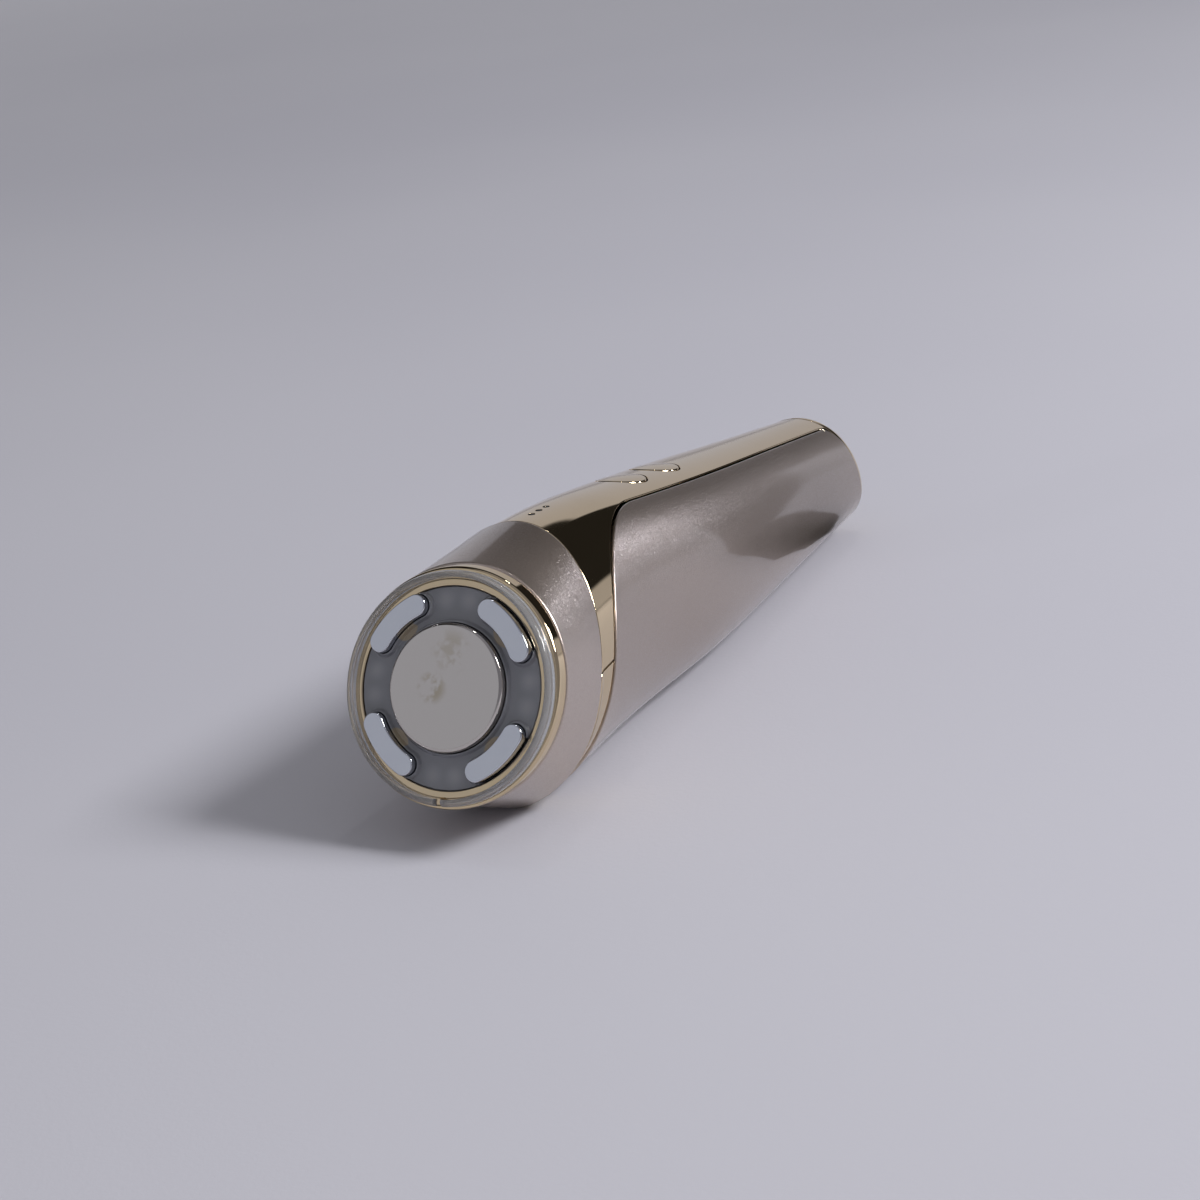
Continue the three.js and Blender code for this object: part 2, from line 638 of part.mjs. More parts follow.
function makeElectrodes(head) {
  const front = FACE_PROUD;
  const back = front - DISC_THICKNESS;
  const edge = discRadius - DISC_BEVEL;
  const disc = [[0, back], [discRadius, back], [discRadius, front - DISC_BEVEL], [edge, front], [0, front]];
  piece(head, "centre_electrode", turned(disc), DISC_STEEL);
  const bevel = {
    depth: front - ARC_BEVEL - windowBack,
    bevelThickness: ARC_BEVEL,
    bevelSize: ARC_BEVEL,
    bevelSegments: 1,
  };
  arcAngles.forEach((angle, i) => {
    const bean = new THREE.ExtrudeGeometry(beanShape(-ARC_BEVEL), bevel).translate(0, 0, windowBack);
    const under = toSolid(rod(RIM_RADIUS, windowBack, FACE_PROUD + 1, 8));
    const solid = toSolid(bean.rotateZ(deg(angle))).intersect(under);
    piece(head, `arc_electrode_${i + 1}`, solid, STEEL);
    const post = atAngle(rod(POST_RADIUS, boardFront + GAP, windowBack - GAP), angle);
    piece(head, `contact_post_${i + 1}`, post, CONTACT_GOLD);
  });
  const contact = rod(CONTACT_RADIUS, floorBack - 1, back - 2 * GAP);
  piece(head, "centre_contact", contact, CONTACT_GOLD);
}

function makeCarrier(head) {
  const bore = CONTACT_RADIUS + GAP;
  const seat = FACE_PROUD - DISC_THICKNESS - GAP;
  const outline = [
    [bore, floorBack],
    [carrierRadius, floorBack],
    [carrierRadius, carrierTop],
    [carrierRadius - CARRIER_WALL, carrierTop],
    [carrierRadius - CARRIER_WALL, floorFront],
    [towerRadius, floorFront],
    [towerRadius, seat],
    [bore, seat],
  ];
  let carrier = toSolid(turned(outline));
  for (const angle of carrierScrewAngles) {
    const pilot = rod(SCREW_RADIUS + THREAD_GAP, floorBack - 1, floorFront - GAP);
    carrier = carrier.subtract(toSolid(atAngle(pilot, angle)));
  }
  const slot = block(CABLE_WIDTH + CABLE_CLEARANCE, 2 * CABLE_CLEARANCE, 4 * CARRIER_FLOOR)
    .translate(0, postCentre, floorBack);
  piece(head, "electrode_carrier", carrier.subtract(toSolid(slot)), BLACK);
  carrierScrewAngles.forEach((angle, i) => {
    const under = ledgeBack - GAP;
    const screw = turned([
      [0, under - SCREW_HEAD_HEIGHT],
      [SCREW_HEAD_RADIUS, under - SCREW_HEAD_HEIGHT],
      [SCREW_HEAD_RADIUS, under],
      [SCREW_RADIUS, under],
      [SCREW_RADIUS, under + SCREW_LENGTH],
      [0, under + SCREW_LENGTH],
    ], SMALL_ROUND);
    piece(head, `carrier_screw_${i + 1}`, atAngle(screw, angle), NICKEL);
  });
  const gasket = tube(carrierRadius - GASKET_WIDTH, carrierRadius, gasketBack, gasketBack + GASKET_THICKNESS);
  piece(head, "head_gasket", gasket, SILICONE);
}

function makeLights(head) {
  const inner = towerRadius + GAP;
  const outer = carrierRadius - CARRIER_WALL - GAP;
  piece(head, "led_board", tube(inner, outer, boardFront - LED_BOARD_THICKNESS, boardFront), WHITE);
  for (let i = 0; i < LED_COUNT; i += 1) {
    const pair = Math.floor(i / 2) * 90;
    const angle = pair + (i % 2 ? 0.5 : -0.5) * LED_PAIR_ANGLE;
    const ledCentre = boardFront + 0.15 + LED_SIZE[2] / 2;
    const led = block(LED_SIZE[1], LED_SIZE[0], LED_SIZE[2]).translate(0, 0, ledCentre);
    piece(head, `led_${i + 1}`, atAngle(led, angle), LED_CREAM);
  }
}

function makeCottonRing(head) {
  const foot = FLANGE_FRONT + 0.25;
  const inner = riserRadius + 0.2;
  const outline = [
    [inner, foot],
    [ringRadius - 0.15, foot],
    [ringRadius, foot + 0.15],
    [ringRadius, foot + 0.9],
    [ringRadius - 0.4, RING_FRONT - 0.45],
    [ringRadius - 1, RING_FRONT],
    [inner + 0.3, RING_FRONT],
    [inner, RING_FRONT - 0.3],
  ];
  const slit = toSolid(block(RING_SLIT, 8, 8).translate(0, -ringRadius, RING_FRONT - 1));
  piece(head, "cotton_ring", toSolid(turned(outline)).subtract(slit), CLEAR);
}

// Flat cable from the LED board through the carrier to the main board's front end
function makeHeadCable(device) {
  const out = (depth) => new THREE.Vector2(
    depth * tiltCos + postCentre * tiltSin,
    HEAD_HEIGHT + postCentre * tiltCos - depth * tiltSin,
  );
  const board = handleStart + BOARD_START;
  const under = BOARD_DEPTH + BOARD_THICKNESS + GAP + CABLE_THICKNESS / 2;
  const below = (y, drop) => new THREE.Vector2(y, stripHeight(y) - under - drop);
  const route = new THREE.SplineCurve([
    out(-boardFront + LED_BOARD_THICKNESS + GAP),
    out(-floorBack + 1),
    out(-ledgeBack + 1.5),
    below(board - CABLE_THICKNESS, 4 * CABLE_THICKNESS),
    below(board + CABLE_WIDTH / 2, CABLE_THICKNESS),
    below(board + CABLE_WIDTH, 0),
  ]);
  const steps = 14;
  const edge = (side) => Array.from({ length: steps + 1 }, (_, i) => {
    const point = route.getPoint(i / steps);
    const along = route.getTangent(i / steps);
    return new THREE.Vector2(point.x - (along.y * side * CABLE_THICKNESS) / 2,
      point.y + (along.x * side * CABLE_THICKNESS) / 2);
  });
  const ribbon = new THREE.Shape([...edge(1), ...edge(-1).reverse()]);
  piece(device, "head_cable", sideSlab(ribbon, CABLE_WIDTH), CABLE_AMBER);
}

function makeButtons(device) {
  ["button_power", "button_level"].forEach((name, i) => {
    const group = onStrip(buttonPlaces[i]);
    const edge = BUTTON_RADIUS - 0.35;
    const rim = BUTTON_RISE - GOLD_INSET;
    const crown = [0, 0.3, 0.6].map((share) =>
      [edge * (1 - share), rim + BUTTON_DOME * (1 - (1 - share) ** 2)]);
    const outline = [
      [0, -BUTTON_FLANGE_DEPTH - 0.9],
      [PLUNGER_RADIUS, -BUTTON_FLANGE_DEPTH - 0.9],
      [PLUNGER_RADIUS, -BUTTON_FLANGE_DEPTH - 0.6],
      [BUTTON_FLANGE, -BUTTON_FLANGE_DEPTH - 0.6],
      [BUTTON_FLANGE, -BUTTON_FLANGE_DEPTH],
      [BUTTON_RADIUS, -BUTTON_FLANGE_DEPTH],
      [BUTTON_RADIUS, rim - 0.3],
      ...crown,
      [0, rim + BUTTON_DOME],
    ];
    const button = closed(turned(outline, 24));
    const place = button.attributes.position;
    for (let j = 0; j < place.count; j += 1) {
      const y = group.position.y + place.getY(j) * Math.cos(stripSlope);
      const fall = skinHeight(place.getX(j), y) - stripHeight(y);
      if (place.getZ(j) > rim - 1) place.setZ(j, place.getZ(j) + fall);
    }
    piece(group, name, button, GOLD);
    device.add(group);
  });
}

const sealTop = -BUTTON_FLANGE_DEPTH - 0.9 - BUTTON_TRAVEL - 0.15;
const sealBack = sealTop - SEAL_SIZE[2];

function makeBoard(device) {
  const middle = BOARD_START + BOARD_LENGTH / 2;
  const group = onStrip(middle);
  let board = toSolid(block(BOARD_WIDTH, BOARD_LENGTH, BOARD_THICKNESS)
    .translate(0, 0, -BOARD_DEPTH - BOARD_THICKNESS / 2));
  const along = (place) => (place - middle) / Math.cos(stripSlope);
  for (const place of BOSS_PLACES) {
    const hole = rod(SCREW_RADIUS + SHAFT_GAP, -BOARD_DEPTH - BOARD_THICKNESS - 1, -BOARD_DEPTH + 1);
    board = board.subtract(toSolid(hole.translate(0, along(place), 0)));
  }
  piece(group, "main_board", board, BOARD_GREEN);
  BOSS_PLACES.forEach((place, i) => {
    const under = -BOARD_DEPTH - BOARD_THICKNESS - GAP;
    const screw = turned([
      [0, under - SCREW_HEAD_HEIGHT],
      [SCREW_HEAD_RADIUS, under - SCREW_HEAD_HEIGHT],
      [SCREW_HEAD_RADIUS, under],
      [SCREW_RADIUS, under],
      [SCREW_RADIUS, under + SCREW_LENGTH],
      [0, under + SCREW_LENGTH],
    ], SMALL_ROUND);
    piece(group, `board_screw_${i + 1}`, screw.translate(0, along(place), 0), NICKEL);
  });
  ["switch_power", "switch_level"].forEach((name, i) => {
    const low = -BOARD_DEPTH + 0.15;
    const base = low + SWITCH_HEIGHT / 2;
    const body = toSolid(block(SWITCH_SIZE, SWITCH_SIZE, SWITCH_HEIGHT).translate(0, 0, base));
    const plunger = toSolid(rod(PLUNGER_RADIUS, low + 1, sealBack - 0.15));
    const solid = body.add(plunger).translate([0, along(buttonPlaces[i]), 0]);
    piece(group, name, solid, BLACK);
  });
  const sealPlace = along(BUTTON_START + BUTTON_PITCH / 2);
  const seal = block(...SEAL_SIZE).translate(0, sealPlace, (sealTop + sealBack) / 2);
  piece(group, "button_seal", seal, SILICONE);
  const transformer = block(...TRANSFORMER).translate(
    0,
    along(TRANSFORMER_PLACE),
    -BOARD_DEPTH - BOARD_THICKNESS - 0.15 - TRANSFORMER[2] / 2,
  );
  piece(group, "rf_transformer", transformer, FERRITE);
  const chip = block(...CHIP).translate(0, along(CHIP_PLACE), -BOARD_DEPTH + 0.15 + CHIP[2] / 2);
  piece(group, "controller_chip", chip, BLACK);
  indicatorPlaces.forEach((place, i) => {
    const y = handleStart + place;
    const top = topAt(y) - stripHeight(y) - GOLD_INSET;
    const pipe = rod(INDICATOR_RADIUS, -BOARD_DEPTH + GAP, top, 10);
    piece(group, `indicator_${i + 1}`, pipe.translate(0, along(place), 0), BLACK);
  });
  device.add(group);
}

function makeBattery(device) {
  const start = handleStart + CELL_START;
  const floors = [CELL_START, CELL_START + CELL_LENGTH].map((place) =>
    innerFloor(place / HANDLE_LENGTH, CRADLE_FOOT));
  const floor = Math.max(...floors) + GAP;
  const trough = CELL_RADIUS + CELL_FIT;
  const axis = floor + CRADLE_BASE + trough;
  const cell = new THREE.CylinderGeometry(CELL_RADIUS, CELL_RADIUS, CELL_LENGTH, 28);
  piece(device, "battery_cell", cell.translate(0, start + CELL_LENGTH / 2, axis), CELL_BLUE);
  const side = trough + CRADLE_WALL;
  const outline = new THREE.Shape();
  outline.moveTo(-CRADLE_FOOT, floor);
  outline.lineTo(CRADLE_FOOT, floor);
  outline.lineTo(side, axis - CRADLE_FOOT);
  outline.lineTo(side, axis);
  outline.lineTo(trough, axis);
  outline.absarc(0, axis, trough, 0, -Math.PI, true);
  outline.lineTo(-side, axis);
  outline.lineTo(-side, axis - CRADLE_FOOT);
  const cradle = slab(outline, 0, CELL_LENGTH - 8, 10).rotateX(Math.PI / 2);
  piece(device, "battery_cradle", cradle.translate(0, start + CELL_LENGTH - 4, 0), BLACK);
  const tab = () => block(TAB_WIDTH, TAB_THICKNESS, CELL_RADIUS * 1.4);
  piece(device, "battery_tab_front", tab().translate(0, start - GAP - TAB_THICKNESS / 2, axis), NICKEL);
  const rear = start + CELL_LENGTH + GAP + TAB_THICKNESS / 2;
  piece(device, "battery_tab_rear", tab().translate(0, rear, axis), NICKEL);
}

// Rounded tail cap with a spigot, a shelf and the charging socket's opening
function makeTail(device) {
  const end = handleAt(1);
  const middle = (end.top + end.low) / 2;
  const start = tailFace + GAP;
  const rings = [];
  for (let i = 0; i <= 5; i += 1) {
    const angle = (i / 5) * (Math.PI / 2);
    const inset = GOLD_INSET + TAIL_ROUND * (1 - Math.cos(angle));
    const y = start + TAIL_ROUND * Math.sin(angle);
    rings.push(handleRing(1, inset).map((point) => point.clone().setY(y)));
  }
  const ringAt = (inset, y) => handleRing(1, inset).map((point) => point.clone().setY(y));
  const spigotInset = GRIP_WALL + GAP + 0.25;
  const spigot = toSolid(loft([ringAt(spigotInset, start - TAIL_SPIGOT), ringAt(spigotInset, start + 0.5)]))
    .subtract(toSolid(loft([
      ringAt(spigotInset + TAIL_SPIGOT_WALL, start - TAIL_SPIGOT - 1),
      ringAt(spigotInset + TAIL_SPIGOT_WALL, start + 1),
    ])));
  const flat = start + TAIL_ROUND;
  const mouth = flat - SOCKET_RECESS;
  const opening = new THREE.Shape();
  const radius = SOCKET_HEIGHT / 2 + SOCKET_OPENING_FIT;
  const reach = SOCKET_WIDTH / 2 - SOCKET_HEIGHT / 2;
  opening.absarc(reach, 0, radius, -Math.PI / 2, Math.PI / 2, false);
  opening.absarc(-reach, 0, radius, Math.PI / 2, 1.5 * Math.PI, false);
  const cut = slab(opening, 0, 2 * beyond, 6).rotateX(Math.PI / 2).translate(0, flat + beyond / 4, middle);
  const boardTop = middle - SOCKET_HEIGHT / 2 - GAP / 2;
  const shelfTop = boardTop - CHARGE_BOARD[2] - GAP;
  const shelfLength = TAIL_SPIGOT + 7;
  const shelf = block(CHARGE_BOARD[0] - 4, shelfLength, SHELF_THICKNESS)
    .translate(0, start - shelfLength / 2 + 1, shelfTop - SHELF_THICKNESS / 2);
  const cap = toSolid(loft(rings)).add(spigot).add(toSolid(shelf)).subtract(toSolid(cut));
  piece(device, "tail_cap", cap, GOLD);
  const board = block(...CHARGE_BOARD)
    .translate(0, start - GAP - CHARGE_BOARD[1] / 2, boardTop - CHARGE_BOARD[2] / 2);
  piece(device, "charge_board", board, BOARD_GREEN);
  const stadium = (margin, depth, low) => {
    const shape = new THREE.Shape();
    const round = SOCKET_HEIGHT / 2 - margin;
    shape.absarc(reach, 0, round, -Math.PI / 2, Math.PI / 2, false);
    shape.absarc(-reach, 0, round, Math.PI / 2, 1.5 * Math.PI, false);
    return toSolid(slab(shape, 0, depth, 6).rotateX(Math.PI / 2).translate(0, low, middle));
  };
  const cavity = stadium(SOCKET_WALL, SOCKET_LENGTH, mouth + 1);
  piece(device, "charge_socket", stadium(0, SOCKET_LENGTH, mouth).subtract(cavity), NICKEL);
  const tongue = block(...TONGUE)
    .translate(0, mouth - SOCKET_LENGTH + 1 + GAP + TONGUE[1] / 2, middle);
  piece(device, "socket_tongue", tongue, BLACK);
}

const device = new THREE.Group();
const head = new THREE.Group();
head.position.z = HEAD_HEIGHT;
head.rotation.x = deg(90 - HEAD_TILT);
device.add(head);

makeElectrodes(head);
makeCarrier(head);
makeLights(head);
makeBezel(head);
makeWindow(head);
makeCottonRing(head);
makeCollar(head);
makeHeadCable(device);
makeCovers(device);
makeGrip(device);
makeButtons(device);
makeBoard(device);
makeBattery(device);
makeTail(device);

// The origin goes to the centre of the bounding box's underside
device.updateMatrixWorld(true);
const extent = new THREE.Box3().setFromObject(device, true);
device.position.set(0, -(extent.min.y + extent.max.y) / 2, -extent.min.z);

export default device;
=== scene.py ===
import math

import bpy
import numpy as np
from mathutils import Matrix, Vector


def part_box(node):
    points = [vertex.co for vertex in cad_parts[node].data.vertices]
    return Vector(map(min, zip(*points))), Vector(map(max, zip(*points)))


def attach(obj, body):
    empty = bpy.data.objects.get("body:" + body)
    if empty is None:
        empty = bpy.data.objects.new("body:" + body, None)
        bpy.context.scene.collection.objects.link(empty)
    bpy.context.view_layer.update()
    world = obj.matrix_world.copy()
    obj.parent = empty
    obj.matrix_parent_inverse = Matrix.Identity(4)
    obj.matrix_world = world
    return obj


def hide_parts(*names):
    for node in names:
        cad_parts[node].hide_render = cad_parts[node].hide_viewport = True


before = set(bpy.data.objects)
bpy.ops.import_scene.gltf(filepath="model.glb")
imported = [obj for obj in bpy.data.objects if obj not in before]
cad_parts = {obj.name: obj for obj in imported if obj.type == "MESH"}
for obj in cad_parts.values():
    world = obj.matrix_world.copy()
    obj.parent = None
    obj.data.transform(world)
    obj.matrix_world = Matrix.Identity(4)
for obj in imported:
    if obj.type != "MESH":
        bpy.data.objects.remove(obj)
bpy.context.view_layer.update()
scene = bpy.context.scene
scene.view_settings.view_transform = "Standard"

# Camera. It looks down on the wand from in front, a little to the right of it, with a short
# telephoto lens held slightly out of level. Lengths are in millimetres up to the last step, and
# places on the head are measured from the middle of its rim.
MM_PER_METRE = 1000
TILT = math.radians(24.5)  # of the face
FACE_PROUD = 3.6  # the electrodes' height over the rim's middle
DISC_THICKNESS = 2.7
CAMERA_TURN = math.radians(28.65)
CAMERA_RISE = math.radians(19.56)
CAMERA_ROLL = math.radians(-7.05)
CAMERA_AIM = [0, 75, -3.1]
CAMERA_DISTANCE = 513.5
CAMERA_LEFT = 7.08
CAMERA_DOWN = 7.45
OUT = np.array([0.0, -math.cos(TILT), math.sin(TILT)])
UP = np.array([0.0, math.sin(TILT), math.cos(TILT)])
ACROSS = np.array([1.0, 0.0, 0.0])
disc_box = [np.array(corner) * MM_PER_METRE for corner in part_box("centre_electrode")]
rim_centre = (disc_box[0] + disc_box[1]) / 2 - (FACE_PROUD - DISC_THICKNESS / 2) * OUT
back = np.array([
    math.sin(CAMERA_TURN) * math.cos(CAMERA_RISE),
    -math.cos(CAMERA_TURN) * math.cos(CAMERA_RISE),
    math.sin(CAMERA_RISE),
])
level = np.array([math.cos(CAMERA_TURN), math.sin(CAMERA_TURN), 0.0])
upright = np.cross(back, level)
right = level * math.cos(CAMERA_ROLL) + upright * math.sin(CAMERA_ROLL)
top = upright * math.cos(CAMERA_ROLL) - level * math.sin(CAMERA_ROLL)
aim = rim_centre + CAMERA_AIM
eye = aim - CAMERA_LEFT * right - CAMERA_DOWN * top + CAMERA_DISTANCE * back
camera = bpy.data.objects.new("camera", bpy.data.cameras.new("camera"))
scene.collection.objects.link(camera)
camera.data.lens = 75
camera.data.sensor_width = 36
camera.data.clip_start = 0.01
camera.data.clip_end = 50
rows = [[right[i], top[i], back[i], eye[i] / MM_PER_METRE] for i in range(3)]
camera.matrix_world = Matrix(rows + [[0, 0, 0, 1]])
scene.camera = camera


# Table. A wide sheet of matt off-white paper with a very fine tooth, laid out flat. The wand
# lies on it, and painted light makes the paper paler far behind the wand.
class Wire:
    """An output in a node tree. Arithmetic on it adds Math nodes."""

    def __init__(self, socket):
        self.socket = socket

    def maths(self, operation, *values):
        node = self.socket.id_data.nodes.new("ShaderNodeMath")
        node.operation = operation
        for slot, value in zip(node.inputs, values):
            plug(slot, value)
        return Wire(node.outputs[0])

    def __add__(self, other):
        return self.maths("ADD", self, other)

    def __sub__(self, other):
        return self.maths("SUBTRACT", self, other)

    def __rsub__(self, other):
        return self.maths("SUBTRACT", other, self)

    def __mul__(self, other):
        return self.maths("MULTIPLY", self, other)

    __radd__ = __add__
    __rmul__ = __mul__


def plug(slot, value):
    """Links a wire into a socket, or sets the socket to a plain value."""
    if isinstance(value, Wire):
        slot.id_data.links.new(value.socket, slot)
    elif slot.type == "RGBA":
        slot.default_value = (*value, 1)
    else:
        slot.default_value = value


class Finish:
    """A material in the making, with its shader's sockets set by name."""

    def __init__(self, name, **sockets):
        self.material = bpy.data.materials.new(name)
        self.material.use_nodes = True
        self.tree = self.material.node_tree
        self.shader = self.tree.nodes["Principled BSDF"]
        self.set(**sockets)

    def set(self, **sockets):
        for name, value in sockets.items():
            plug(self.shader.inputs[name.replace("_", " ").title().replace("Ior", "IOR")], value)
        return self

    def node(self, kind, settings=None, inputs=None, output=0):
        """A new node: its settings first, then the values or links of its sockets."""
        made = self.tree.nodes.new("ShaderNode" + kind)
        for name, value in (settings or {}).items():
            setattr(made, name, value)
        for name, value in (inputs or {}).items():
            plug(made.inputs[name], value)
        return Wire(made.outputs[output])

    def vector(self, operation, *values, output=0):
        return self.node("VectorMath", {"operation": operation}, dict(enumerate(values)), output)

    def place(self):
        return self.node("TexCoord", output="Object")

    def away_from(self, spot):
        """Distance in metres from a spot given in millimetres."""
        spot = tuple(np.asarray(spot) / MM_PER_METRE)
        return self.vector("DISTANCE", self.place(), spot, output="Value")

    def noise(self, scale, detail=2.0, rough=0.5, stretch=None):
        place = self.place()
        if stretch:
            place = self.vector("MULTIPLY", place, stretch)
        inputs = {"Vector": place, "Scale": scale, "Detail": detail, "Roughness": rough}
        return self.node("TexNoise", None, inputs)

    def cells(self, scale):
        """A random colour for each small cell."""
        return self.node("TexVoronoi", None, {"Vector": self.place(), "Scale": scale}, "Color")

    def grey(self, colour):
        return self.node("SeparateColor", None, {"Color": colour})

    def ease(self, value, low, high, to_low=0.0, to_high=1.0):
        inputs = {0: value, 1: low, 2: high, 3: to_low, 4: to_high}
        return self.node("MapRange", {"interpolation_type": "SMOOTHSTEP"}, inputs)

    def mix(self, mask, first, second):
        return self.node("Mix", {"data_type": "RGBA"}, {0: mask, 6: first, 7: second}, 2)

    def tinted(self, mask, first, second):
        """Colours the surface between two shades, by a mask."""
        return self.set(base_color=self.mix(mask, shade(first), shade(second)))

    def bump(self, height, strength, depth):
        inputs = {"Height": height, "Strength": strength, "Distance": depth}
        return self.set(normal=self.node("Bump", None, inputs))


def shade(code):
    """A colour written as on screen, as the light that it stands for."""
    parts = [int(code[i:i + 2], 16) / 255 for i in (0, 2, 4)]
    return tuple(p / 12.92 if p <= 0.04045 else ((p + 0.055) / 1.055) ** 2.4 for p in parts)


def put(name, points, faces, finish):
    """A new mesh object from points in millimetres."""
    mesh = bpy.data.meshes.new(name)
    mesh.from_pydata([tuple(p) for p in np.asarray(points) / MM_PER_METRE], [], faces)
    made = bpy.data.objects.new(name, mesh)
    made.data.materials.append(finish.material)
    scene.collection.objects.link(made)
    return made


TABLE_HALF = 3000
paper = Finish("table_paper", roughness=0.75, specular_ior_level=0.25)
cloud = paper.ease(paper.noise(2.2), 0.3, 0.7)
near = paper.mix(cloud, shade("B7B6C0"), shade("BCBBC4"))
# Painted light: the paper turns towards near-white with distance from the middle of the table.
painted_far_light = paper.ease(paper.vector("LENGTH", paper.place(), output="Value"), 0.5, 3.0)
paper.set(base_color=paper.mix(painted_far_light, near, shade("EFEEF6")))
paper.bump(paper.noise(900, 3.0, 0.6), 0.12, 0.0003)
points = [(x * TABLE_HALF, y * TABLE_HALF, 0) for x, y in ((-1, -1), (1, -1), (1, 1), (-1, 1))]
table = put("table", points, [(0, 1, 2, 3)], paper)

# Room. A dark studio with a pale backdrop, front wall, side wall, ceiling and skirting, and a
# black card on the table behind the tail: a flat crescent with an upright piece at its far end.
# It shows only in what polished and satin surfaces mirror, and lights nothing that is matt.
ROOM = 4000
room = Finish("room_paint", base_color=(0, 0, 0), roughness=1.0, specular_ior_level=0.0,
              emission_strength=1.0)
seen = room.vector("NORMALIZE", room.place())
across, along, high = (room.node("SeparateXYZ", None, {0: seen}, axis) for axis in "XYZ")
bearing = across.maths("ARCTAN2", across, along)


def past(first, last):
    """Rises from 0 to 1 between two bearings in degrees."""
    return room.ease(bearing, math.radians(first), math.radians(last))


def above(first, last):
    """Rises from 0 to 1 between two heights in degrees."""
    return room.ease(high, math.sin(math.radians(first)), math.sin(math.radians(last)))


def around_spot(direction, outer, inner):
    """Rises from 0 to 1 between two angles in degrees from a direction."""
    way = tuple(np.array(direction) / np.linalg.norm(direction))
    cosine = room.vector("DOT_PRODUCT", seen, way, output="Value")
    return room.ease(cosine, math.cos(math.radians(outer)), math.cos(math.radians(inner)))


front_wall = around_spot((-0.45, -0.80, 0.40), 50, 34)
side_wall = past(46, 56)
ceiling = above(62, 72)
skirting = 1 - above(6.5, 8.5)
backdrop = past(-56, -50) * (1 - past(-5, -3.5)) * (1 - above(27, 28.5))
walls = shade("252423")
for mask, colour in ((front_wall, "B2B4BC"), (side_wall, "7E7E86"), (ceiling, "8C8C94"),
                     (skirting, "B0B0B8"), (backdrop, "B5B5BD")):
    walls = room.mix(mask, walls, shade(colour))
room.set(emission_color=walls)
rings, spokes = 24, 48
points = []
for tip in np.linspace(0, math.pi, rings + 1):
    for way in np.linspace(0, 2 * math.pi, spokes, endpoint=False):
        flat = ROOM * math.sin(tip)
        points.append((flat * math.cos(way), flat * math.sin(way), ROOM * math.cos(tip)))
faces = []
for low in range(0, rings * spokes, spokes):
    for j in range(spokes):
        k = (j + 1) % spokes
        faces.append((low + j, low + spokes + j, low + spokes + k, low + k))
dome = put("room", points, faces, room)

CARD_THICKNESS = 0.3
CARD_UPRIGHT = 75
CARD_END = 262  # from the rim's middle
card_black = Finish("black_card", base_color=shade("2A2928"), roughness=0.9, specular_ior_level=0.0)
crescent = [(13, 158), (18.5, 144.5), (31, 145), (58, 176), (90, 226), (106, CARD_END),
            (68, CARD_END), (65, 248), (58, 232), (46, 210), (33, 186), (17, 166)]
points = [(x, y + rim_centre[1], CARD_THICKNESS) for x, y in crescent]
points += [(x, CARD_END + rim_centre[1], CARD_UPRIGHT) for x in (106, 30)]
card = put("card", points, [tuple(range(len(crescent))), (5, 6, 13, 12)], card_black)
for backing in (dome, card):
    backing.visible_camera = False
    backing.visible_diffuse = False
    backing.visible_shadow = False
    backing.visible_volume_scatter = False

# Studio light. A big soft box high on the right, a small bare lamp overhead, and an even pale
# fill from all round. A cool third lamp, low on the right behind the wand, only adds gloss.
LAMP_DISTANCE = 1.5
FILL = 0.38


def lamp(name, direction, width, height, power, colour=(1, 1, 1)):
    data = bpy.data.lights.new(name, "AREA")
    data.shape = "ELLIPSE" if width == height else "RECTANGLE"
    data.size = width
    data.size_y = height
    data.energy = power
    data.color = colour
    made = bpy.data.objects.new(name, data)
    way = Vector(direction).normalized()
    made.location = way * LAMP_DISTANCE
    made.rotation_euler = way.to_track_quat("Z", "Y").to_euler()
    scene.collection.objects.link(made)
    return made


lamp("soft_box", (0.76, 0.2, 0.65), 0.48, 0.42, 20.8)
lamp("bare_lamp", (0.0, 0.32, 0.93), 0.09, 0.09, 0.6)
glint = lamp("glint_lamp", (0.61, 0.68, 0.41), 0.2, 0.2, 5.5, (0.76, 0.83, 1.0))
glint.visible_diffuse = False
world = bpy.data.worlds.new("fill")
world.use_nodes = True
world.node_tree.nodes["Background"].inputs["Color"].default_value = (0.98, 0.98, 1.0, 1)
world.node_tree.nodes["Background"].inputs["Strength"].default_value = FILL
scene.world = world

# Grip shell. A thin moulded shell round the sides and the underside of the handle, sprayed with
# a fine metallic taupe lacquer and snapped over the gold covers. The handle's form is set by a
# row of rings: share of the length, lean, top, half width, widest height, underside, squareness.
HANDLE_LENGTH = 146
HANDLE_HEIGHT = 48.7
HANDLE_HALF = 20.5
HANDLE_RINGS = np.array([
    [0.0, 1, 1, 1, 0.441, -0.01, 2.0],
    [0.096, 0.714, 0.986, 0.946, 0.452, -0.01, 2.05],
    [0.219, 0.306, 0.953, 0.92, 0.45, -0.01, 2.15],
    [0.377, 0, 0.887, 0.956, 0.374, -0.009, 2.25],
    [0.548, 0, 0.801, 0.911, 0.317, -0.006, 2.35],
    [0.719, 0, 0.714, 0.829, 0.275, 0.002, 2.3],
    [1.0, 0, 0.577, 0.727, 0.23, 0.018, 2.0],
])
UNDERSIDE_SQUARE = 2.1
UNDERSIDE_TURN = 0.04  # how softly the sides turn into the flat underside
COLLAR_DEPTH = 18.1
PANEL_LEAN = math.radians(28)
BAND_WIDTH = 7.2
PANEL_CORNER = 31
STRIP_DROP = 2.3
TAIL_CORNER = 4.5
SEAM_HEIGHT = 23.7
JOIN = 0.13  # gap between neighbouring shells
GRIP_WALL = 2.0
GRIP_EDGE = 0.3
GRIP_STATION = 1.3  # from one row of the mesh to the next
WAY_STATION = math.radians(3)
quarter = math.pi / 2
rim_height = rim_centre[2]
lean_pivot = HANDLE_HEIGHT / 2


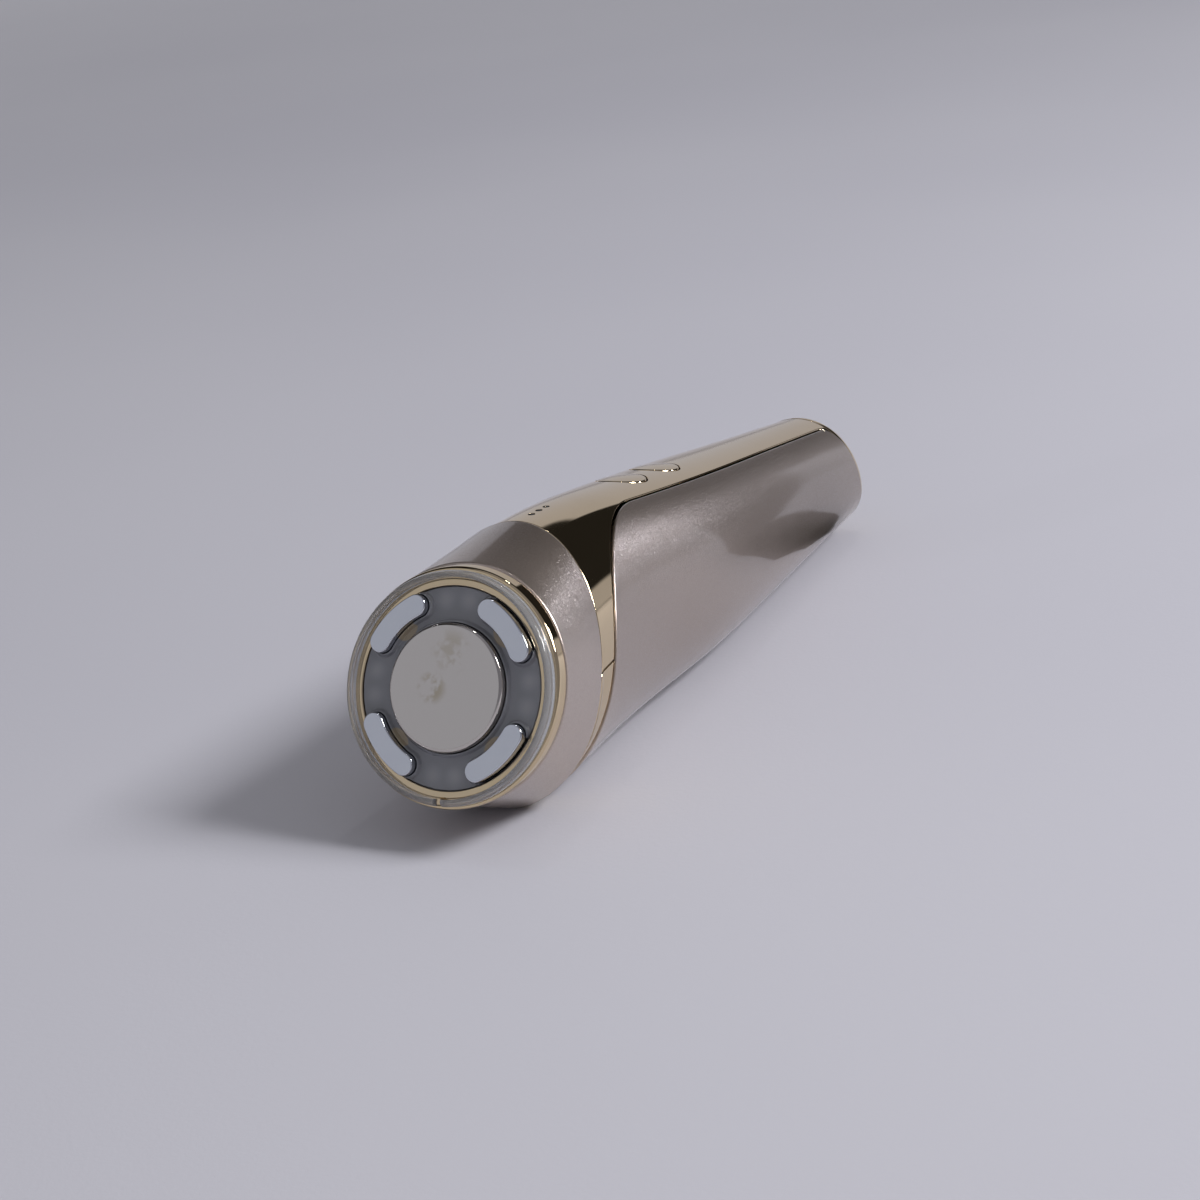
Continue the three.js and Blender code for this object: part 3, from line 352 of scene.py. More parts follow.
def collar_rear_at(height):
    return rim_centre[1] + (COLLAR_DEPTH + (height - rim_height) * math.sin(TILT)) / math.cos(TILT)


handle_start = collar_rear_at(lean_pivot)
tail_face = handle_start + HANDLE_LENGTH


def spline_slopes(at, values):
    """Slopes at the keys of a natural cubic spline."""
    count = len(at)
    gaps = np.diff(at)
    rates = np.diff(values, axis=0) / gaps[:, None]
    system = np.zeros((count, count))
    known = np.zeros(values.shape)
    for i in range(1, count - 1):
        system[i, i - 1:i + 2] = gaps[i], 2 * (gaps[i - 1] + gaps[i]), gaps[i - 1]
        known[i] = 3 * (gaps[i] * rates[i - 1] + gaps[i - 1] * rates[i])
    system[0, :2] = 2, 1
    system[-1, -2:] = 1, 2
    known[0] = 3 * rates[0]
    known[-1] = 3 * rates[-1]
    return np.linalg.solve(system, known)


ring_at = HANDLE_RINGS[:, 0]
ring_values = HANDLE_RINGS[:, 1:] * [
    TILT, HANDLE_HEIGHT, HANDLE_HALF, HANDLE_HEIGHT, HANDLE_HEIGHT, 1]
ring_slopes = spline_slopes(ring_at, ring_values)


def handle_at(share):
    """Lean, top, half width, widest height, underside and squareness at shares of the length."""
    share = np.atleast_1d(np.asarray(share, float))
    i = np.clip(np.searchsorted(ring_at, share, "right") - 1, 0, len(ring_at) - 2)
    gap = (ring_at[i + 1] - ring_at[i])[:, None]
    t = ((share - ring_at[i])[:, None]) / gap
    a, b = ring_values[i], ring_values[i + 1]
    u, v = ring_slopes[i] * gap, ring_slopes[i + 1] * gap
    blend = a * (1 + 2 * t) * (1 - t) ** 2 + u * t * (1 - t) ** 2
    blend += b * t ** 2 * (3 - 2 * t) + v * t ** 2 * (t - 1)
    return blend.T


def handle_skin(share, way, inset=0.0):
    """Points on the handle's surface, at shares of the length and directions round the rings."""
    lean, high, wide, widest, low, square = handle_at(share)
    c, s = np.cos(way), np.sin(way)
    power = np.where(s > 0, square, UNDERSIDE_SQUARE)
    reach = np.where(s > 0, high - inset - widest, widest - low - inset)
    length = (np.abs(c / (wide - inset)) ** power + np.abs(s / reach) ** power) ** (-1 / power)
    x = length * c
    z = widest + length * s - inset
    z = inset + (z + np.sqrt(z * z + UNDERSIDE_TURN)) / 2
    y = handle_start + share * HANDLE_LENGTH + (z - lean_pivot) * np.tan(lean)
    return np.stack([x, y, z], axis=-1)


def unit(vectors):
    return vectors / np.maximum(np.linalg.norm(vectors, axis=-1, keepdims=True), 1e-12)


def facing(surface, u, v, step=1e-4):
    """Outward normals of a surface of two parameters."""
    by_u = surface(u + step, v) - surface(u - step, v)
    by_v = surface(u, v + step) - surface(u, v - step)
    return unit(np.cross(by_u, by_v))


strip_share = ring_at[2]
strip_lean, strip_top = handle_at(strip_share)[:2, 0]
strip_front = handle_start + strip_share * HANDLE_LENGTH
strip_front += (strip_top - lean_pivot) * math.tan(strip_lean)
strip_slope = math.atan((strip_top - handle_at(1.0)[1, 0]) / (tail_face - strip_front))


def strip_height(y):
    return strip_top - (y - strip_front) * math.tan(strip_slope)


def past_corner(y, z, first, second, first_reach, second_reach, radius):
    """Distance outside two half planes joined by a fillet, and the way that it grows."""
    centre = np.linalg.solve(
        np.array([first, second]), [first_reach - radius, second_reach - radius])
    way = np.stack([y - centre[0], z - centre[1]], axis=-1)
    by_first = way @ first - radius
    by_second = way @ second - radius
    turn_in = np.sign(first[0] * second[1] - first[1] * second[0])
    past_first = (first[0] * way[:, 1] - first[1] * way[:, 0]) * turn_in > 0
    before_second = (way[:, 0] * second[1] - way[:, 1] * second[0]) * turn_in > 0
    in_corner = past_first & before_second
    length = np.linalg.norm(way, axis=-1)
    distance = np.where(in_corner, length - radius, np.maximum(by_first, by_second))
    growth = np.where((by_first > by_second)[:, None], first, second)
    growth = np.where(in_corner[:, None], way / np.maximum(length, 1e-9)[:, None], growth)
    return distance, growth


def past_panel(points, normals):
    """Distance outside the grip shell's outline, along the surface: front edge, fillet, strip."""
    front_normal = np.array([-math.cos(PANEL_LEAN), math.sin(PANEL_LEAN)])
    strip_normal = np.array([math.sin(strip_slope), math.cos(strip_slope)])
    tail_normal = np.array([1.0, 0.0])
    front_reach = front_normal @ [collar_rear_at(SEAM_HEIGHT) + BAND_WIDTH, SEAM_HEIGHT]
    strip_reach = strip_normal @ [strip_front, strip_top - STRIP_DROP]
    y, z = points[:, 1], points[:, 2]
    front, front_way = past_corner(
        y, z, front_normal, strip_normal, front_reach, strip_reach, PANEL_CORNER)
    tail, tail_way = past_corner(
        y, z, strip_normal, tail_normal, strip_reach, tail_face, TAIL_CORNER)
    at_tail = y > strip_front + HANDLE_LENGTH / 2
    growth = np.where(at_tail[:, None], tail_way, front_way)
    along_skin = np.sqrt(np.maximum(1 - (normals[:, 1:] * growth).sum(1) ** 2, 0.02))
    return np.where(at_tail, tail, front) / along_skin


def spaced(low, high, step, *finer):
    """Stations from low to high, closer together inside the finer stretches (from, to, step)."""
    marks = list(np.linspace(low, high, max(int(round((high - low) / step)), 1) + 1))
    for start, stop, small in finer:
        marks = [m for m in marks if not start - small * 0.4 < m < stop + small * 0.4]
        marks += list(np.linspace(start, stop, int(round((stop - start) / small)) + 1))
    return np.array(sorted(marks))


def sides(face):
    return zip(face, face[1:] + face[:1])


def trimmed(surface, us, vs, *fields):
    """A grid on a surface, cut back to where every field is above nought.

    Returns the two parameters of each corner, and the faces."""
    grid_u, grid_v = np.meshgrid(us, vs, indexing="ij")
    u, v = grid_u.ravel(), grid_v.ravel()
    rows, count = len(us), len(vs)
    faces = [
        [i * count + j, (i + 1) * count + j, (i + 1) * count + j + 1, i * count + j + 1]
        for i in range(rows - 1)
        for j in range(count - 1)
    ]
    for field in fields:
        def level_at(a, b):
            return field(surface(a, b), facing(surface, a, b))

        kept = level_at(u, v) > 0
        crossings = {}
        for face in faces:
            for a, b in sides(face):
                if kept[a] != kept[b]:
                    crossings.setdefault((min(a, b), max(a, b)), len(u) + len(crossings))
        if crossings:
            pairs = np.array(list(crossings))
            swap = ~kept[pairs[:, 0]]
            inner = np.where(swap, pairs[:, 1], pairs[:, 0])
            outer = np.where(swap, pairs[:, 0], pairs[:, 1])
            du, dv = u[outer] - u[inner], v[outer] - v[inner]
            near, far = np.zeros(len(pairs)), np.ones(len(pairs))
            for _ in range(18):
                half_way = (near + far) / 2
                inside = level_at(u[inner] + half_way * du, v[inner] + half_way * dv) > 0
                near = np.where(inside, half_way, near)
                far = np.where(inside, far, half_way)
            u = np.append(u, u[inner] + near * du)
            v = np.append(v, v[inner] + near * dv)
        cut = []
        for face in faces:
            new = []
            for a, b in sides(face):
                if kept[a]:
                    new.append(a)
                if kept[a] != kept[b]:
                    new.append(crossings[(min(a, b), max(a, b))])
            if len(new) > 2:
                cut.append(new)
        faces = cut
    return u, v, faces


def welded(points, faces, reach=0.05):
    """Draws corners closer than reach into one, the later of them, and drops what collapses."""
    leader = list(range(len(points)))

    def root(i):
        while leader[i] != i:
            i = leader[i]
        return i

    for face in faces:
        for a, b in sides(face):
            a, b = root(a), root(b)
            if a != b and np.linalg.norm(points[a] - points[b]) < reach:
                leader[min(a, b)] = max(a, b)
    clean = []
    for face in faces:
        new = []
        for i in map(root, face):
            if not new or new[-1] != i:
                new.append(i)
        while len(new) > 1 and new[0] == new[-1]:
            new.pop()
        if len(new) > 2 and len(set(new)) == len(new):
            clean.append(new)
    return clean


def edge_loops(faces):
    """The open edges of a sheet of faces, as loops that keep the sheet on their left."""
    edges = {side for face in faces for side in sides(face)}
    follow = {a: b for a, b in edges if (b, a) not in edges}
    loops = []
    while follow:
        start, step = follow.popitem()
        loop = [start]
        while step != start and step in follow:
            loop.append(step)
            step = follow.pop(step)
        if step == start:
            loops.append(loop)
    return loops


def plate(surface, sheet, wall, edge):
    """A closed shell: the sheet as its outside, rounded edges, and an inside a wall behind."""
    u, v, faces = sheet
    points = surface(u, v)
    faces = welded(points, faces)
    used = sorted({i for face in faces for i in face})
    renumber = {old: new for new, old in enumerate(used)}
    faces = [[renumber[i] for i in face] for face in faces]
    points = points[used]
    normals = facing(surface, u[used], v[used])
    count = len(points)
    all_points = [points, points - wall * normals]
    all_normals = [normals, -normals]
    all_faces = faces + [[i + count for i in reversed(face)] for face in faces]
    total = 2 * count
    for loop in edge_loops(faces):
        p, n = points[loop], normals[loop]
        out = unit(np.cross(unit(np.roll(p, -1, 0) - np.roll(p, 1, 0)), n))
        size = len(loop)
        strips = []
        for turned in (0.25, 0.5, 0.75, 1.0):
            c, s = math.cos(turned * quarter), math.sin(turned * quarter)
            strips.append((p - edge * n + edge * (c * n + s * out), c * n + s * out))
        strips.append((p - wall * n + edge * out, unit(out - n)))
        rows = [list(loop)]
        for strip, ways in strips:
            all_points.append(strip)
            all_normals.append(ways)
            rows.append(list(range(total, total + size)))
            total += size
        rows.append([i + count for i in loop])
        for first, second in zip(rows, rows[1:]):
            for j in range(size):
                k = (j + 1) % size
                all_faces.append([first[k], first[j], second[j], second[k]])
    return np.concatenate(all_points), np.concatenate(all_normals), all_faces


def fit(name, shape, finish, slot, body, *nodes):
    """Places a finished shape as a smooth piece that stands for CAD nodes and moves with a body."""
    points, normals, faces = shape
    piece = put(name, points, faces, finish)
    piece.data.polygons.foreach_set("use_smooth", [True] * len(faces))
    piece.data.normals_split_custom_set_from_vertices([tuple(n) for n in unit(normals)])
    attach(piece, body)
    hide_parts(*nodes)
    return piece


lacquer = Finish("taupe_lacquer", metallic=0.95, coat_weight=1.0, coat_roughness=0.07)
tone = lacquer.mix(lacquer.grey(lacquer.cells(5200)), shade("B5A69B"), shade("BEAFA4"))
drift = lacquer.ease(lacquer.noise(60, 3.0), 0.3, 0.7, 0.0, 0.25)
tone = lacquer.mix(drift, tone, shade("B6A79B"))
along = lacquer.node("SeparateXYZ", None, {0: lacquer.place()}, "Y")
# Painted shade: beyond the collar the lacquer is mixed a third of the way to a darker tone, so the
# handle reads darker than the collar.
handle_painted_shade = lacquer.ease(along, -0.066, -0.05, 0.0, 0.35)  # darker than the collar
lacquer.set(base_color=lacquer.mix(handle_painted_shade, tone, shade("82756D")))
lacquer.set(roughness=lacquer.noise(900) * 0.03 + 0.315)
flake_tilt = lacquer.vector("SUBTRACT", lacquer.cells(9000), (0.5, 0.5, 0.5))
loose = lacquer.ease(lacquer.grey(lacquer.cells(8600)), 0.4, 0.8, 0.06, 0.34)
flake_tilt = lacquer.node(
    "VectorMath", {"operation": "SCALE"}, {"Vector": flake_tilt, "Scale": loose})
flake = lacquer.vector("ADD", lacquer.node("NewGeometry", output="Normal"), flake_tilt)
lacquer.set(normal=lacquer.vector("NORMALIZE", flake))

grip_shares = spaced(
    (JOIN + GRIP_EDGE) / HANDLE_LENGTH, 1 - GRIP_EDGE / HANDLE_LENGTH,
    GRIP_STATION / HANDLE_LENGTH)
grip_ways = spaced(-3 * quarter, quarter, WAY_STATION)
grip_sheet = trimmed(
    handle_skin, grip_shares, grip_ways, lambda p, n: -past_panel(p, n) - GRIP_EDGE)
fit("grip", plate(handle_skin, grip_sheet, GRIP_WALL, GRIP_EDGE),
    lacquer, "taupe_shell", "wand", "grip_shell")

# Gold covers. Two thin mirror-plated mouldings under the grip shell's edge: the top cover with
# the strip, its button and indicator holes, and the lower band that closes the ring beneath.
GOLD_INSET = 0.35
GOLD_WALL = 1.5
GOLD_EDGE = 0.25
BEAD_RISE = 0.27  # along the covers' edge at the collar
COVER_STATION = 1.2
BAND_STATION = 1.0
BAND_REACH = 0.4  # share of the length
HOLE_DEPTH = 8
BUTTON_RADIUS = 5.05
BUTTON_GROOVE = 0.32
BUTTON_START = 55.1
BUTTON_PITCH = 15.2
INDICATOR_RADIUS = 0.55
INDICATOR_FIT = 0.05
INDICATOR_START = 17.3
INDICATOR_PITCH = 2.9
strip_up = np.array([0, math.sin(strip_slope), math.cos(strip_slope)])
strip_back = np.array([0, math.cos(strip_slope), -math.sin(strip_slope)])


def smooth(t):
    t = np.clip(t, 0, 1)
    return t * t * (3 - 2 * t)


def on_strip(place):
    y = handle_start + place
    return np.array([0, y, strip_height(y)])


button_spots = [on_strip(BUTTON_START + i * BUTTON_PITCH) for i in range(2)]
indicator_spots = [on_strip(INDICATOR_START + i * INDICATOR_PITCH) for i in range(3)]


def gold_skin(share, way):
    """The covers' surface, with a low bead along the edge at the collar."""
    bead = BEAD_RISE * (1 - smooth(share * HANDLE_LENGTH - 0.5))
    return handle_skin(share, way, GOLD_INSET - bead)


def clear_of(spot, radius):
    """Distance outside a hole square to the strip."""
    def distance(points, normals):
        offset = points - spot
        reach = np.hypot(offset[:, 0], offset @ strip_back) - radius - GOLD_EDGE
        return np.where(offset[:, 2] > -HOLE_DEPTH, reach, 99)
    return distance


gold = Finish("gold_plate", metallic=1.0)
haze = gold.noise(45, 4.0, 0.6)
gold.tinted(gold.ease(haze, 0.3, 0.8), "DECAA8", "D8C4A1")
gold.set(roughness=gold.ease(haze, 0.2, 0.9, 0.03, 0.07))
gold.bump(gold.noise(25), 0.05, 0.0004)


def share_on_top(y):
    """Share of the length at which the handle's top lies over a place along Y."""
    share = (y - handle_start) / HANDLE_LENGTH
    for _ in range(12):
        lean, high = handle_at(share)[:2, 0]
        here = handle_start + share * HANDLE_LENGTH + (high - lean_pivot) * math.tan(lean)
        share += (y - here) / HANDLE_LENGTH
    return share


def beside_panel(points, normals):
    return past_panel(points, normals) - JOIN - GOLD_EDGE


finer = []
for spots, reach, step in ((button_spots, 6.0, 0.5), (indicator_spots, 0.95, 0.16)):
    for _, y, _ in spots:
        finer.append((share_on_top(y - reach), share_on_top(y + reach), step / HANDLE_LENGTH))
cover_start = (JOIN + GOLD_EDGE) / HANDLE_LENGTH
cover_sheet = trimmed(
    gold_skin,
    spaced(cover_start, 1 - GOLD_EDGE / HANDLE_LENGTH, COVER_STATION / HANDLE_LENGTH, *finer),
    spaced(
        -quarter,
        3 * quarter,
        WAY_STATION,
        (quarter - 0.42, quarter + 0.42, 0.028),  # round the buttons
        (quarter - 0.045, quarter + 0.045, 0.009),  # round the indicators
    ),
    beside_panel,
    lambda p, n: p[:, 2] - SEAM_HEIGHT - JOIN / 2 - GOLD_EDGE,
    *[clear_of(spot, BUTTON_RADIUS + BUTTON_GROOVE) for spot in button_spots],
    *[clear_of(spot, INDICATOR_RADIUS + INDICATOR_FIT) for spot in indicator_spots],
)
fit("cover", plate(gold_skin, cover_sheet, GOLD_WALL, GOLD_EDGE),
    gold, "gold_mirror", "wand", "top_cover")
band_sheet = trimmed(
    gold_skin,
    spaced(cover_start, BAND_REACH, BAND_STATION / HANDLE_LENGTH),
    grip_ways,
    beside_panel,
    lambda p, n: SEAM_HEIGHT - JOIN / 2 - GOLD_EDGE - p[:, 2],
)
fit("band", plate(gold_skin, band_sheet, GOLD_WALL, GOLD_EDGE),
    gold, "gold_mirror", "wand", "lower_band")

# Tail cap. A plated end moulding with a rounded edge, pushed into the handle on a spigot, with a
# stadium-shaped mouth for the charging socket.
TAIL_ROUND = 4.5
TAIL_SIDE = 0.1  # straight part of its side
TAIL_STEPS = 10
TAIL_SPIGOT = 3
TAIL_SPIGOT_INSET = 2.55
TAIL_SPIGOT_WALL = 1.3
SOCKET_WIDTH = 8.94
SOCKET_HEIGHT = 3.26
SOCKET_OPENING_FIT = 0.4


def loop_rows(rows, normals, closed=True):
    """Skins a row of equal loops, the last joined to the first where closed."""
    count = len(rows[0])
    faces = []
    last = len(rows) if closed else len(rows) - 1
    for i in range(last):
        k = (i + 1) % len(rows)
        for j in range(count):
            m = (j + 1) % count
            faces.append([i * count + j, i * count + m, k * count + m, k * count + j])
    points, ways = np.concatenate(rows), np.concatenate(normals)
    face = np.array(faces)
    one_way = points[face[:, 2]] - points[face[:, 0]]
    other = points[face[:, 3]] - points[face[:, 1]]
    if (np.cross(one_way, other) * ways[face].mean(1)).sum() < 0:
        faces = [list(reversed(f)) for f in faces]
    return points, ways, faces


ways = np.linspace(0, 2 * math.pi, 96, endpoint=False)
end_middle = (handle_at(1.0)[1, 0] + handle_at(1.0)[4, 0]) / 2
cap_start = tail_face + JOIN
cap_end = cap_start + TAIL_ROUND


def cap_ring(inset, y):
    ring = handle_skin(np.ones(len(ways)), ways, inset)
    ring[:, 1] = y
    return ring


def cap_normals(turned):
    """Normals of the cap's side, turned towards the end by a share of a right angle."""
    around = facing(handle_skin, np.full(len(ways), 0.999), ways)
    around[:, 1] = 0
    side, end = math.cos(turned * quarter), math.sin(turned * quarter)
    return unit(around) * side + np.array([0, end, 0])


def mouth_ring(y, margin=0.0):
    """The socket's mouth, point for point with the cap's rings."""
    radius = SOCKET_HEIGHT / 2 + SOCKET_OPENING_FIT + margin
    reach = SOCKET_WIDTH / 2 - SOCKET_HEIGHT / 2
    c, s = np.cos(ways), np.sin(ways)
    flat = np.abs(s) * reach > np.abs(c) * radius
    slant = np.where(flat, radius / np.maximum(np.abs(s), 1e-9), 0)
    inside = np.sqrt(np.maximum(radius ** 2 - (reach * s) ** 2, 0))
    length = np.where(flat, slant, reach * np.abs(c) + inside)
    return np.stack([length * c, np.full(len(ways), y), end_middle + length * s], axis=-1)


cap_rows, cap_ways = [], []
for i in range(TAIL_STEPS + 1):
    turned = i / TAIL_STEPS
    inset = GOLD_INSET + TAIL_ROUND * (1 - math.cos(turned * quarter))
    rise = TAIL_SIDE + (TAIL_ROUND - TAIL_SIDE) * math.sin(turned * quarter)
    cap_rows.append(cap_ring(inset, cap_start + rise))
    cap_ways.append(cap_normals(turned))
into_mouth = unit(np.stack([-np.cos(ways), 0 * ways, -np.sin(ways)], axis=-1))
end_way = np.tile([0.0, 1.0, 0.0], (len(ways), 1))
mouth_edge = [(0.35, 0, 0), (0.17, 0.05, 0.35), (0.05, 0.17, 0.7), (0, 0.35, 1)]
for margin, depth, turned in mouth_edge + [(0, TAIL_ROUND, 1)]:
    cap_rows.append(mouth_ring(cap_end - depth, margin))
    cap_ways.append(unit(end_way * (1 - turned) + into_mouth * turned))
spigot_bore = TAIL_SPIGOT_INSET + TAIL_SPIGOT_WALL
for inset, reach, way in ((spigot_bore, 0, -1), (spigot_bore, TAIL_SPIGOT, -1),
                          (TAIL_SPIGOT_INSET, TAIL_SPIGOT, 1), (TAIL_SPIGOT_INSET, 0, 1),
                          (GOLD_INSET + 0.1, 0, 1)):
    cap_rows.append(cap_ring(inset, cap_start - reach))
    cap_ways.append(unit(cap_normals(0) * way * 0.6 - end_way * 0.8))
fit("tail", loop_rows(cap_rows, cap_ways), gold, "gold_mirror", "wand", "tail_cap")

# Head collar. A short moulded sleeve in the grip's lacquer that runs from the round rim in front
# to the oval handle behind, with small rounded edges that catch the light.
RIM_RADIUS = 21.95
SLEEVE_RISE = 0.28
FLANGE_FRONT = 1.15
FLANGE_BACK = -1.45
COLLAR_STEP = 0.2
COLLAR_WALL = 1.3
COLLAR_EDGE = 0.45
COLLAR_ROUND_AT = 1.75  # depth at which it is still round
collar_front = -FLANGE_BACK + JOIN


def face_way(vectors):
    """From the face's own frame (across, up the face, out of it) to the wand's, as directions."""
    return vectors[..., :1] * ACROSS + vectors[..., 1:2] * UP + vectors[..., 2:3] * OUT


def from_face(points):
    return rim_centre + face_way(np.asarray(points, float))


def collar_skin(depth, way, inset=0.0):
    """Round at the rim and oval at the handle, in the face's frame."""
    lean, high, wide, widest, low, square = handle_at(0.0)[:, 0]
    c, s = np.cos(way), np.sin(way)
    power = 2 / np.where(s > 0, square, UNDERSIDE_SQUARE)
    reach = np.where(s > 0, high - inset - widest, widest - low - inset)
    x = (wide - inset) * np.sign(c) * np.abs(c) ** power
    z = np.maximum(widest + reach * np.sign(s) * np.abs(s) ** power, 0.02)
    y = handle_start + (z - lean_pivot) * math.tan(lean) - rim_centre[1]
    rear = np.stack([x, y * math.sin(TILT) + (z - rim_height) * math.cos(TILT)], axis=-1)
    share = ((depth - COLLAR_ROUND_AT) / (COLLAR_DEPTH - COLLAR_ROUND_AT))[..., None]
    radius = RIM_RADIUS + COLLAR_STEP - inset
    rise = SLEEVE_RISE * (COLLAR_ROUND_AT + FLANGE_FRONT)
    flat = np.stack([radius * c, rise + radius * s], axis=-1) * (1 - share) + rear * share
    return np.concatenate([flat, -np.broadcast_to(depth, c.shape)[..., None]], axis=-1)


def rounded(corners, closed=True, steps=5):
    """An outline with its corners rounded: points, and the way each faces (right of travel)."""
    corners = [np.array(c, float) for c in corners]
    count = len(corners)
    points, ways = [], []
    for i, corner in enumerate(corners):
        here, radius = corner[:2], corner[2]
        if not closed and i in (0, count - 1):
            step = corners[1][:2] - here if i == 0 else here - corners[-2][:2]
            step = step / np.linalg.norm(step)
            points.append(here)
            ways.append(np.array([step[1], -step[0]]))
            continue
        before, after = corners[i - 1][:2], corners[(i + 1) % count][:2]
        into, on = here - before, after - here
        lengths = np.linalg.norm(into), np.linalg.norm(on)
        into, on = into / lengths[0], on / lengths[1]
        bend = math.atan2(into[0] * on[1] - into[1] * on[0], into @ on)
        first = np.array([into[1], -into[0]])
        if abs(bend) < 1e-6:
            points.append(here)
            ways.append(first)
            continue
        cut = min(radius * abs(math.tan(bend / 2)), 0.49 * min(lengths))
        radius = cut / max(abs(math.tan(bend / 2)), 1e-9)
        side = 1 if bend > 0 else -1
        middle = here - into * cut - side * radius * first
        parts = max(int(math.ceil(abs(bend) / quarter * steps)), 1)
        for k in range(parts + 1):
            a = bend * k / parts
            way = np.array([
                first[0] * math.cos(a) - first[1] * math.sin(a),
                first[0] * math.sin(a) + first[1] * math.cos(a),
            ])
            points.append(middle + side * radius * way)
            ways.append(way)
    return np.array(points), np.array(ways)


outline, outline_ways = rounded([
    (collar_front, 0, COLLAR_EDGE),
    (COLLAR_DEPTH * 0.35, 0, 0.01),
    (COLLAR_DEPTH * 0.7, 0, 0.01),
    (COLLAR_DEPTH, 0, 0.3),
    (COLLAR_DEPTH, COLLAR_WALL, 0.1),
    (collar_front, COLLAR_WALL, 0.1),
], steps=6)
collar_ways = np.linspace(0, 2 * math.pi, 144, endpoint=False) + 0.01
rows, normals = [], []
for (depth, inset), (fore, side) in zip(outline, outline_ways):
    depths = np.full(len(collar_ways), depth)
    skin = collar_skin(depths, collar_ways)
    out = facing(collar_skin, depths, collar_ways)
    if (out[:, :2] * skin[:, :2]).sum() < 0:
        out = -out
    line = unit(collar_skin(depths + 0.01, collar_ways) - skin)
    rows.append(from_face(collar_skin(depths, collar_ways, inset)))
    normals.append(face_way(unit(line * fore - out * side)))
fit("collar", loop_rows(rows, normals), lacquer, "taupe_shell", "wand", "head_collar")

# Rim bezel. A gold-plated ring round the face: a flange outside that shows between the clear
# ring and the collar, and a raised inner lip that holds the window down. A small plated rib at
# its foot keys into the clear ring's slit.
LIP_STEP = 3.45
LIP_FRONT = 1.55
LIP_THICKNESS = 0.7
LIP_WIDTH = 1.3
WINDOW_CAPTURE = 0.35
SPIGOT_GAP = 0.3
SPIGOT_DEPTH = 1.25
SPIGOT_WALL = 0.6
RING_STEP = 0.65
RIB_HALF = 0.42
RIB_SINK = 0.1
RIB_STEP = 0.3
RIB_FRONT_OUTSIDE = 2.2
RIB_FRONT_INSIDE = 2.6
lip_radius = RIM_RADIUS - LIP_STEP
riser_radius = lip_radius + LIP_WIDTH
carrier_radius = lip_radius + WINDOW_CAPTURE
spigot_radius = carrier_radius + SPIGOT_GAP
ring_radius = RIM_RADIUS - RING_STEP


def turned_ring(outline, ways, count=144):
    """A closed outline of (radius, height) turned about the face's axis."""
    around = np.linspace(0, 2 * math.pi, count, endpoint=False)
    c, s = np.cos(around), np.sin(around)
    rows = [np.stack([r * c, r * s, np.full(count, z)], -1) for r, z in outline]
    normals = [np.stack([a * c, a * s, np.full(count, b)], -1) for a, b in ways]
    return rows, normals


def capped(rows, normals, first_way, last_way):
    """Closes a row of loops at both ends with flat faces that have their own corners."""
    count = len(rows[0])
    points, ways, faces = loop_rows(rows, normals, closed=False)
    for row, way in ((rows[0], first_way), (rows[-1], last_way)):
        ring = list(range(len(points), len(points) + count))
        points = np.concatenate([points, row])
        ways = np.concatenate([ways, np.tile(way, (count, 1))])
        spread = row - row.mean(0)
        area = np.cross(spread, np.roll(row, -1, 0) - row.mean(0)).sum(0)
        faces.append(ring if area @ way > 0 else ring[::-1])
    return points, ways, faces


outline, outline_ways = rounded([
    (lip_radius, LIP_FRONT - LIP_THICKNESS, 0.1),
    (spigot_radius, LIP_FRONT - LIP_THICKNESS, 0.05),
    (spigot_radius, FLANGE_BACK - SPIGOT_DEPTH, 0.05),
    (spigot_radius + SPIGOT_WALL, FLANGE_BACK - SPIGOT_DEPTH, 0.1),
    (spigot_radius + SPIGOT_WALL, FLANGE_BACK, 0.02),
    (RIM_RADIUS, FLANGE_BACK, 0.2),
    (RIM_RADIUS, FLANGE_FRONT, 0.6),
    (riser_radius, FLANGE_FRONT, 0.1),
    (riser_radius, LIP_FRONT, 0.25),
    (lip_radius, LIP_FRONT, 0.25),
])
outline, outline_ways = outline[::-1], -outline_ways[::-1]
if ((outline - outline.mean(0)) * outline_ways).sum() < 0:
    outline_ways = -outline_ways
rows, normals = turned_ring(outline, outline_ways)
for row, normal in zip(rows, normals):
    if np.hypot(*row[0, :2]) > ring_radius + 0.1:
        row[:, 1] += SLEEVE_RISE * max(FLANGE_FRONT - row[0, 2], 0)
        normal[:, 2] += SLEEVE_RISE * normal[:, 1]
fit("rim", loop_rows([from_face(r) for r in rows], [face_way(unit(n)) for n in normals]),
    gold, "gold_trim", "wand", "rim_bezel")
outline, outline_ways = rounded([
    (riser_radius - RIB_SINK, FLANGE_FRONT - RIB_SINK, 0.05),
    (ring_radius - RIB_STEP, FLANGE_FRONT - RIB_SINK, 0.05),
    (ring_radius - RIB_STEP, RIB_FRONT_OUTSIDE, 0.3),
    (riser_radius - RIB_SINK, RIB_FRONT_INSIDE, 0.2),
])
rows = [from_face(np.stack([np.full(len(outline), x), -outline[:, 0], outline[:, 1]], -1))
        for x in (-RIB_HALF, RIB_HALF)]
ways = face_way(np.stack([np.zeros(len(outline)), -outline_ways[:, 0], outline_ways[:, 1]], -1))
fit("rib", capped(rows, [ways, ways], -ACROSS, ACROSS), gold, "gold_trim", "wand")

